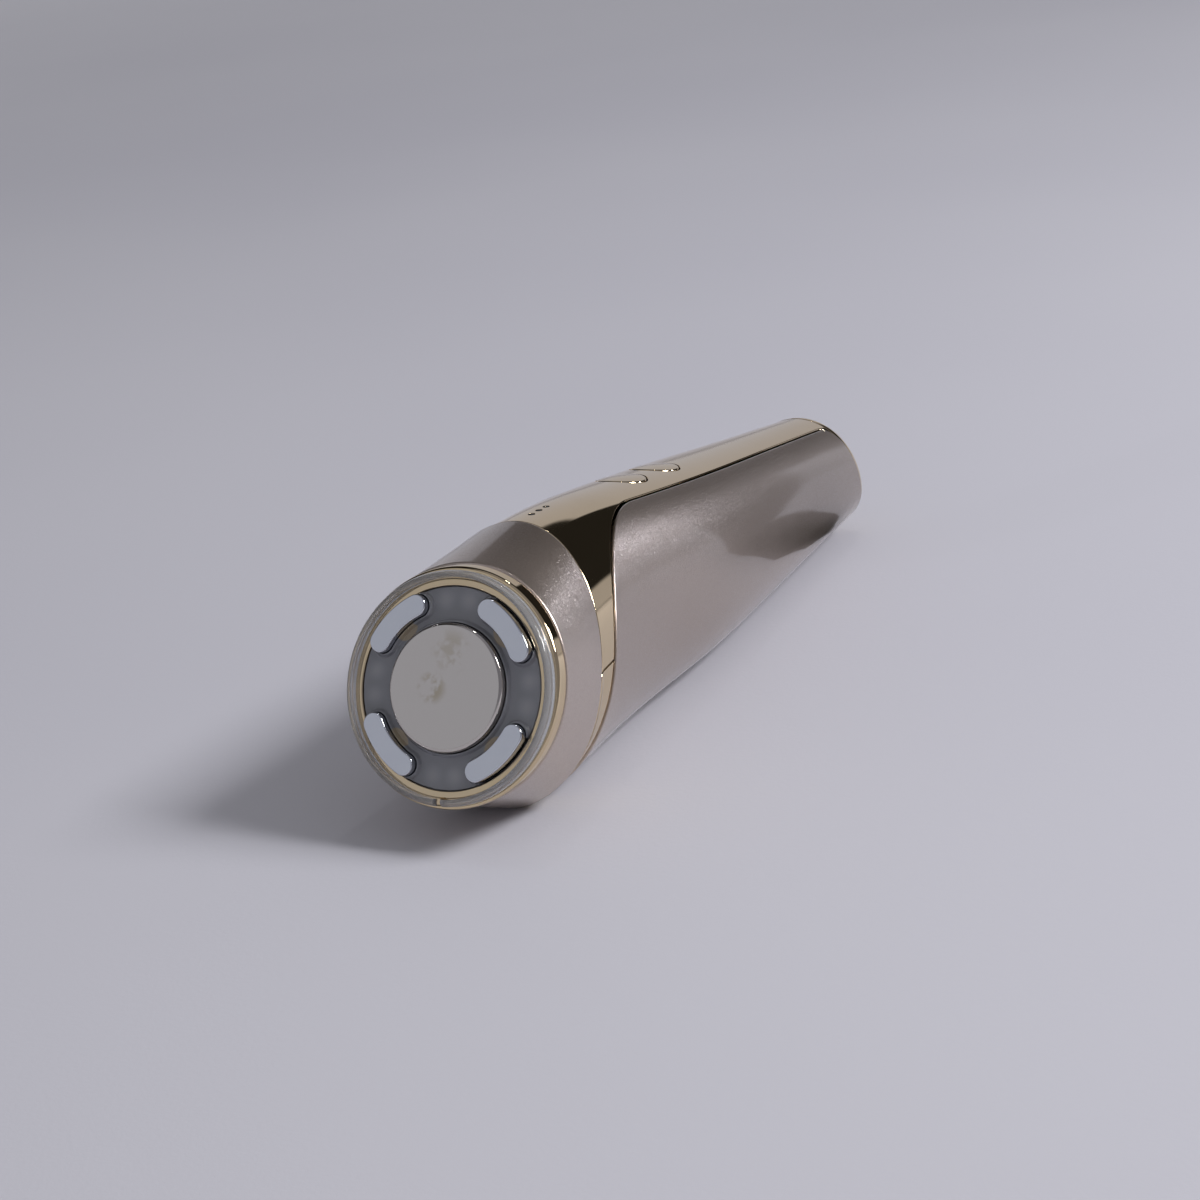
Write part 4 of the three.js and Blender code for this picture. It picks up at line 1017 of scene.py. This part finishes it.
# Face window. A smoke-tinted moulded ring behind the lip, polished, with a raised bead round the
# disc and each arc electrode. The lamps and the posts beneath show through it as soft patches.
ARC_COUNT = 4
ARC_SPAN = math.radians(35)
ARC_HALF_WIDTH = 2.05
ARC_MARGIN = 0.25
DISC_MARGIN = 2.4
WINDOW_THICKNESS = 1.4
WINDOW_STEP = 0.75
WINDOW_EDGE = 0.12
BEAD_HEIGHT = 0.88
BEAD_WIDTH = 0.55
BEAD_FLAT = 0.15
ELECTRODE_FIT = 0.12
LIP_GAP = 0.3
LIP_HOLD = 0.22  # where the lip starts to hold the window down
LIP_HOLD_RUN = 0.14
LAMP_SPREAD = math.radians(17)  # between the two lamps of a pair
LAMP_GLOW = 0.0027  # in metres
POST_INSET = 1
arc_radius = lip_radius - ARC_MARGIN - ARC_HALF_WIDTH
disc_radius = arc_radius - ARC_HALF_WIDTH - DISC_MARGIN
window_front = LIP_FRONT - LIP_THICKNESS - LIP_GAP
window_back = window_front - WINDOW_THICKNESS
window_bore = disc_radius + ELECTRODE_FIT
arc_angles = [(i + 0.5) * 2 * math.pi / ARC_COUNT for i in range(ARC_COUNT)]


def past_arc(x, y):
    """Distance outside the nearest arc electrode's outline."""
    way = np.arctan2(y, x)
    nearest = np.full(np.shape(x), 1e9)
    for angle in arc_angles:
        off = np.angle(np.exp(1j * (way - angle)))
        held = angle + np.clip(off, -ARC_SPAN / 2, ARC_SPAN / 2)
        reach = np.hypot(x - arc_radius * np.cos(held), y - arc_radius * np.sin(held))
        nearest = np.minimum(nearest, reach - ARC_HALF_WIDTH)
    return nearest


def window_skin(radius, way):
    x, y = radius * np.cos(way), radius * np.sin(way)
    off = np.minimum(past_arc(x, y), radius - disc_radius)
    bead = BEAD_HEIGHT * (1 - smooth((off - ELECTRODE_FIT - BEAD_FLAT) / BEAD_WIDTH))
    held_down = smooth((radius - lip_radius + LIP_HOLD) / LIP_HOLD_RUN)
    height = window_front + (WINDOW_STEP + bead) * (1 - held_down)
    return from_face(np.stack([x, y, height], -1))


window_glass = Finish("smoked_window", ior=1.5, roughness=0.06, alpha=0.8)
glow = 0.0
for i in range(8):
    angle = (i // 2) * quarter + (0.5 if i % 2 else -0.5) * LAMP_SPREAD
    radius = arc_radius * 0.99
    spot = [radius * math.cos(angle), radius * math.sin(angle), window_front + WINDOW_STEP]
    away = window_glass.away_from(from_face(spot))
    glow = window_glass.ease(away, 0.0, LAMP_GLOW, 1.0, 0.0) + glow
posts = 0.0
for angle in arc_angles:
    radius = arc_radius - POST_INSET
    spot = [radius * math.cos(angle), radius * math.sin(angle), window_front]
    away = window_glass.away_from(from_face(spot))
    posts = window_glass.ease(away, 0.0028, 0.0031, 1.0, 0.0) + posts
smoke = window_glass.mix(window_glass.noise(160), shade("8A8B91"), shade("94959C"))
smoke = window_glass.mix(glow.maths("MINIMUM", glow * 0.4, 1.0), smoke, shade("B4B6BA"))
window_glass.set(base_color=window_glass.mix(posts * 0.8, smoke, shade("B5A488")))
window_glass.bump(window_glass.noise(120, 1.0), 0.04, 0.0003)
window_fine = (lip_radius - 0.26, lip_radius - 0.05, 0.03)
u, v, faces = trimmed(
    window_skin,
    spaced(window_bore + WINDOW_EDGE, carrier_radius - 0.05, 0.22, window_fine),
    spaced(0, 2 * math.pi, 0.0125),
    lambda p, n: past_arc((p - rim_centre) @ ACROSS, (p - rim_centre) @ UP)
    - ELECTRODE_FIT - WINDOW_EDGE,
)
corners = [(round(float(a), 5), round(float(b) % (2 * math.pi), 5)) for a, b in zip(u, v)]
first_at = {}
for i, corner in enumerate(corners):
    first_at.setdefault(corner, i)
window_sheet = u, v, [[first_at[corners[i]] for i in face] for face in faces]
fit("window", plate(window_skin, window_sheet, WINDOW_THICKNESS, WINDOW_EDGE),
    window_glass, "smoked_window", "wand", "face_window")

# Electrodes. A round plate in the middle and four arc plates round it, pressed from steel and
# nickel-plated, polished and with softly broken edges. The round one has faint marks of use.
DISC_EDGE = 0.85
ARC_EDGE = 0.28
ARC_EDGE_STEPS = 5
AXIS_HOLE = 0.02  # where a turned outline starts, just off its axis
disc_steel = Finish("disc_nickel", metallic=1.0)
stain = 0.0
for x, y, reach, depth in ((-2.6, -0.2, 3.6, 1.0), (0.8, 6.6, 4.8, 0.6)):
    away = disc_steel.away_from(from_face([x, y, FACE_PROUD]))
    reach = reach / MM_PER_METRE
    stain = disc_steel.ease(away, 0.4 * reach, reach, depth, 0.0) + stain
stain = disc_steel.ease(disc_steel.noise(240, 4.0, 0.6), 0.48, 0.61) * stain
disc_steel.tinted(stain * 0.8, "CDC7C1", "AFA48F")
disc_steel.set(roughness=disc_steel.noise(500) * 0.05 + stain * 0.08 + 0.1)
disc_steel.bump(disc_steel.noise(60, 1.0), 0.03, 0.0004)
outline, outline_ways = rounded([
    (AXIS_HOLE, FACE_PROUD, 0),
    (disc_radius, FACE_PROUD, DISC_EDGE),
    (disc_radius, FACE_PROUD - DISC_THICKNESS, 0.1),
    (AXIS_HOLE, FACE_PROUD - DISC_THICKNESS, 0),
], closed=False)
rows, normals = turned_ring(outline[1:-1], -outline_ways[1:-1])
rows, normals = [from_face(r) for r in rows], [face_way(n) for n in normals]
fit("disc_plate", capped(rows, normals, OUT, -OUT),
    disc_steel, "electrode_steel", "wand", "centre_electrode")

arc_steel = Finish("arc_chrome", metallic=1.0)
wipe = arc_steel.noise(300, 3.0, 0.6)
arc_steel.tinted(wipe, "CDD0D7", "D5D7DC")
arc_steel.set(roughness=wipe * 0.06 + 0.07)
arc_steel.bump(arc_steel.noise(90, 1.0), 0.03, 0.0004)


def arc_loop(angle, margin, height):
    """Outline of an arc electrode and its outward ways, in the face's frame."""
    half = ARC_SPAN / 2
    wide = ARC_HALF_WIDTH + margin
    end = np.array([arc_radius * math.cos(half), arc_radius * math.sin(half)])
    loop, ways = [], []

    def stretch(centre, radius, start, stop, steps, sign=1):
        for a in np.linspace(start, stop, steps, endpoint=False):
            way = np.array([math.cos(a), math.sin(a)])
            loop.append(centre + radius * way)
            ways.append(sign * way)

    stretch(0, arc_radius + wide, -half, half, 16)
    stretch(end, wide, half, half + math.pi, 18)
    stretch(0, arc_radius - wide, half, -half, 12, -1)
    stretch(end * [1, -1], wide, math.pi - half, 2 * math.pi - half, 18)
    c, s = math.cos(angle), math.sin(angle)
    spin = np.array([[c, s], [-s, c]])
    loop, ways = np.array(loop) @ spin, np.array(ways) @ spin
    return (np.column_stack([loop, np.full(len(loop), height)]),
            np.column_stack([ways, np.zeros(len(ways))]))


for i, angle in enumerate(arc_angles):
    rows, normals = [], []
    for k in range(ARC_EDGE_STEPS + 1):
        tip = k / ARC_EDGE_STEPS * quarter
        side, end = 1 - math.sin(tip), 1 - math.cos(tip)
        loop, ways_out = arc_loop(angle, -ARC_EDGE * side, FACE_PROUD - ARC_EDGE * end)
        rows.append(from_face(loop))
        normals.append(face_way(ways_out * math.sin(tip) + np.array([0, 0, math.cos(tip)])))
    loop, ways_out = arc_loop(angle, 0, window_back)
    rows.append(from_face(loop))
    normals.append(face_way(ways_out))
    fit(f"arc_plate_{i + 1}", capped(rows, normals, OUT, -OUT),
        arc_steel, "electrode_steel", "wand", f"arc_electrode_{i + 1}")

# Cotton ring. A clear snap-on ring, cut open at the bottom so that it springs, which pinches a
# cotton pad over the face. It slides off along the face's axis.
RING_FRONT = 3.3
RING_SLIT = 1.6
RING_LIFT = 0.12
RING_FIT = 0.2
RING_BEVEL = 0.35
RING_STATIONS = 181
clear = Finish("clear_plastic", transmission_weight=0.8, ior=1.49)
streak = clear.noise(130, 3.0, 0.6)
clear.tinted(streak, "CBCBCE", "DADADC")
clear.set(roughness=clear.ease(streak, 0.3, 0.8, 0.1, 0.2))
clear.bump(streak, 0.06, 0.0002)
foot = FLANGE_FRONT + RING_LIFT
inner = riser_radius + RING_FIT
outline, outline_ways = rounded([
    (inner, foot, 0.1),
    (ring_radius, foot, 0.2),
    (ring_radius, foot + 1.0, 0.5),
    (ring_radius - RING_BEVEL, RING_FRONT - RING_BEVEL, 0.5),
    (ring_radius - 2 * RING_BEVEL, RING_FRONT, 0.3),
    (inner, RING_FRONT, 0.35),
], steps=4)


def swung(outline, a):
    """A section of (radius, height) swung to an angle round the face."""
    radius, height = outline.T
    return np.stack([radius * math.cos(a), radius * math.sin(a), height], -1)


slit = math.asin(RING_SLIT / 2 / ring_radius)
around = np.linspace(-quarter + slit, 3 * quarter - slit, RING_STATIONS)
start_way = face_way(np.array([math.sin(around[0]), -math.cos(around[0]), 0.0]))
stop_way = face_way(np.array([-math.sin(around[-1]), math.cos(around[-1]), 0.0]))
rows = [from_face(swung(outline, a)) for a in around]
normals = [face_way(swung(outline_ways, a)) for a in around]
fit("pad_ring", capped(rows, normals, start_way, stop_way),
    clear, "clear_ring", "ring", "cotton_ring")

# Buttons. Two domed, plated keys in round holes in the strip, each with a flange beneath the
# cover that keeps it in, and a stem that works a switch.
BUTTON_FLANGE = 6.1
BUTTON_FLANGE_DEPTH = 3.5
BUTTON_FLANGE_THICKNESS = 0.6
BUTTON_STEM = 1.6
BUTTON_STEM_LENGTH = 0.3
BUTTON_RISE = 0.1
BUTTON_DOME = 0.2
key_gold = Finish("key_gold", metallic=1.0)
touch = key_gold.noise(220, 3.0, 0.6)
key_gold.tinted(touch, "DECAA8", "D6C29F")
key_gold.set(roughness=touch * 0.04 + 0.04)
key_gold.bump(key_gold.noise(120, 1.0), 0.02, 0.0003)


def skin_height(x, y):
    """Height of the handle's upper skin, where its rings stand upright."""
    _, high, wide, widest, _, square = handle_at((y - handle_start) / HANDLE_LENGTH)
    return widest + (high - widest) * (1 - np.abs(x / wide) ** square) ** (1 / square)


def strip_way(vectors):
    """From a frame square to the strip (across, back along it, up) to the wand's."""
    return vectors[:, :1] * ACROSS + vectors[:, 1:2] * strip_back + vectors[:, 2:3] * strip_up


def stood(spot, rows, normals):
    """A solid from loops about an axis square to the strip, at a spot on it."""
    rows = [spot + strip_way(r) for r in rows]
    return capped(rows, [strip_way(n) for n in normals], strip_up, -strip_up)


def turned_key(spot):
    """The key's outline turned about its axis, with its top bent to the strip's curve."""
    rim = BUTTON_RISE - GOLD_INSET
    flange = -BUTTON_FLANGE_DEPTH - BUTTON_FLANGE_THICKNESS
    corners = [(AXIS_HOLE, rim + BUTTON_DOME, 0)]
    for share in (0.2, 0.4, 0.6, 0.8):
        corners.append((BUTTON_RADIUS * share, rim + BUTTON_DOME * (1 - share ** 2), 4.0))
    corners += [
        (BUTTON_RADIUS, rim, 0.35),
        (BUTTON_RADIUS, -BUTTON_FLANGE_DEPTH, 0.05),
        (BUTTON_FLANGE, -BUTTON_FLANGE_DEPTH, 0.1),
        (BUTTON_FLANGE, flange, 0.1),
        (BUTTON_STEM, flange, 0.05),
        (BUTTON_STEM, flange - BUTTON_STEM_LENGTH, 0.1),
        (AXIS_HOLE, flange - BUTTON_STEM_LENGTH, 0),
    ]
    outline, outline_ways = rounded(corners, closed=False, steps=8)
    rows, normals = turned_ring(outline, -outline_ways, 96)
    for row, normal in zip(rows, normals):
        if row[0, 2] > rim - 1:
            x, y = row[:, 0], spot[1] + row[:, 1] * strip_back[1]
            row[:, 2] += skin_height(x, y) - strip_height(y)
            slope = (skin_height(x + 0.01, y) - skin_height(x - 0.01, y)) / 0.02
            normal[:, 0] -= slope * normal[:, 2]
    return stood(spot, rows, normals)


for name, spot in zip(("power", "level"), button_spots):
    fit(f"{name}_cap", turned_key(spot), key_gold, "gold_trim", f"{name}_key", f"button_{name}")


# Indicators. Three thin dark light pipes, moulded in tinted plastic, that stand on the main
# board and end flush in the strip.
def mottled(name, scale, detail, dark, pale, **sockets):
    """A finish whose colour wanders between two shades."""
    made = Finish(name, **sockets)
    return made.tinted(made.noise(scale, detail), dark, pale)


INDICATOR_FOOT = -8.6
lens = mottled("indicator_lens", 2000, 1.0, "141416", "232326",
               roughness=0.5, specular_ior_level=0.15)
for i, spot in enumerate(indicator_spots):
    height = handle_at(share_on_top(spot[1]))[1, 0] - spot[2] - GOLD_INSET
    outline, outline_ways = rounded([
        (AXIS_HOLE, height, 0),
        (INDICATOR_RADIUS, height, 0.12),
        (INDICATOR_RADIUS, INDICATOR_FOOT, 0.1),
        (AXIS_HOLE, INDICATOR_FOOT, 0),
    ], closed=False)
    fit(f"dot_{i + 1}", stood(spot, *turned_ring(outline, -outline_ways, 24)),
        lens, "indicator_lens", "wand", f"indicator_{i + 1}")


# Inside the head: a black moulded carrier, a ring of dark board with eight white lamps soldered
# on, gold-plated contact posts, a grey foam gasket, steel screws and an amber film cable. They
# keep the CAD shapes and get their finish.
def coat(finish, *names):
    """Gives CAD nodes that stay a better material."""
    for name in names:
        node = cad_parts[name]
        node.data.materials.clear()
        node.data.materials.append(finish.material)


carrier_black = mottled("carrier_black", 400, 3.0, "17171A", "252528", roughness=0.55)
carrier_black.bump(carrier_black.noise(1500), 0.15, 0.0001)
coat(carrier_black, "electrode_carrier", "battery_cradle", "socket_tongue", "controller_chip",
     "switch_power", "switch_level")
coat(mottled("lamp_board", 600, 3.0, "3A3C42", "4A4C53", roughness=0.4), "led_board")
lamp_white = mottled("lamp_white", 900, 2.0, "E4DFC2", "EFEBD4", roughness=0.35)
coat(lamp_white, *[f"led_{i + 1}" for i in range(8)])
contact = mottled("contact_gold", 700, 2.0, "E6C27A", "D9B26A", metallic=1.0)
contact.set(roughness=contact.noise(1200) * 0.15 + 0.2)
coat(contact, "centre_contact", *[f"contact_post_{i + 1}" for i in range(4)])
rubber = mottled("seal_rubber", 800, 3.0, "4B4E52", "5C5F63", roughness=0.85)
rubber.bump(rubber.noise(1800), 0.2, 0.0001)
coat(rubber, "head_gasket", "button_seal")
film = Finish("cable_film", roughness=0.35)
film.tinted(film.noise(300, stretch=(8, 1, 1)), "9C5E22", "B87634")
coat(film, "head_cable")
nickel = mottled("nickel_plate", 500, 3.0, "B4B6B9", "C9CBCE", metallic=1.0)
nickel.set(roughness=nickel.noise(900) * 0.15 + 0.2)
coat(nickel, *[f"{kind}_screw_{i + 1}" for kind in ("carrier", "board") for i in range(3)],
     "charge_socket", "battery_tab_front", "battery_tab_rear")

# Inside the handle: the main board and the charging board with their green mask, a ferrite
# transformer, and a cell in a blue heat-shrunk sleeve. They too keep the CAD shapes.
green = Finish("board_green", roughness=0.45)
track = green.node(
    "TexVoronoi", {"feature": "DISTANCE_TO_EDGE"}, {"Vector": green.place(), "Scale": 350})
green.tinted(green.ease(track, 0.02, 0.08), "2F7A50", "1C5236")
green.bump(track, 0.2, 0.0001)
coat(green, "main_board", "charge_board")
ferrite = mottled("ferrite", 1200, 4.0, "2C2C31", "43434A", roughness=0.6)
ferrite.bump(ferrite.noise(1500, 3.0), 0.2, 0.0001)
coat(ferrite, "rf_transformer")
sleeve = mottled("cell_sleeve", 80, 2.0, "2A66A0", "3879B8", roughness=0.35)
sleeve.bump(sleeve.noise(200), 0.1, 0.0002)
coat(sleeve, "battery_cell")
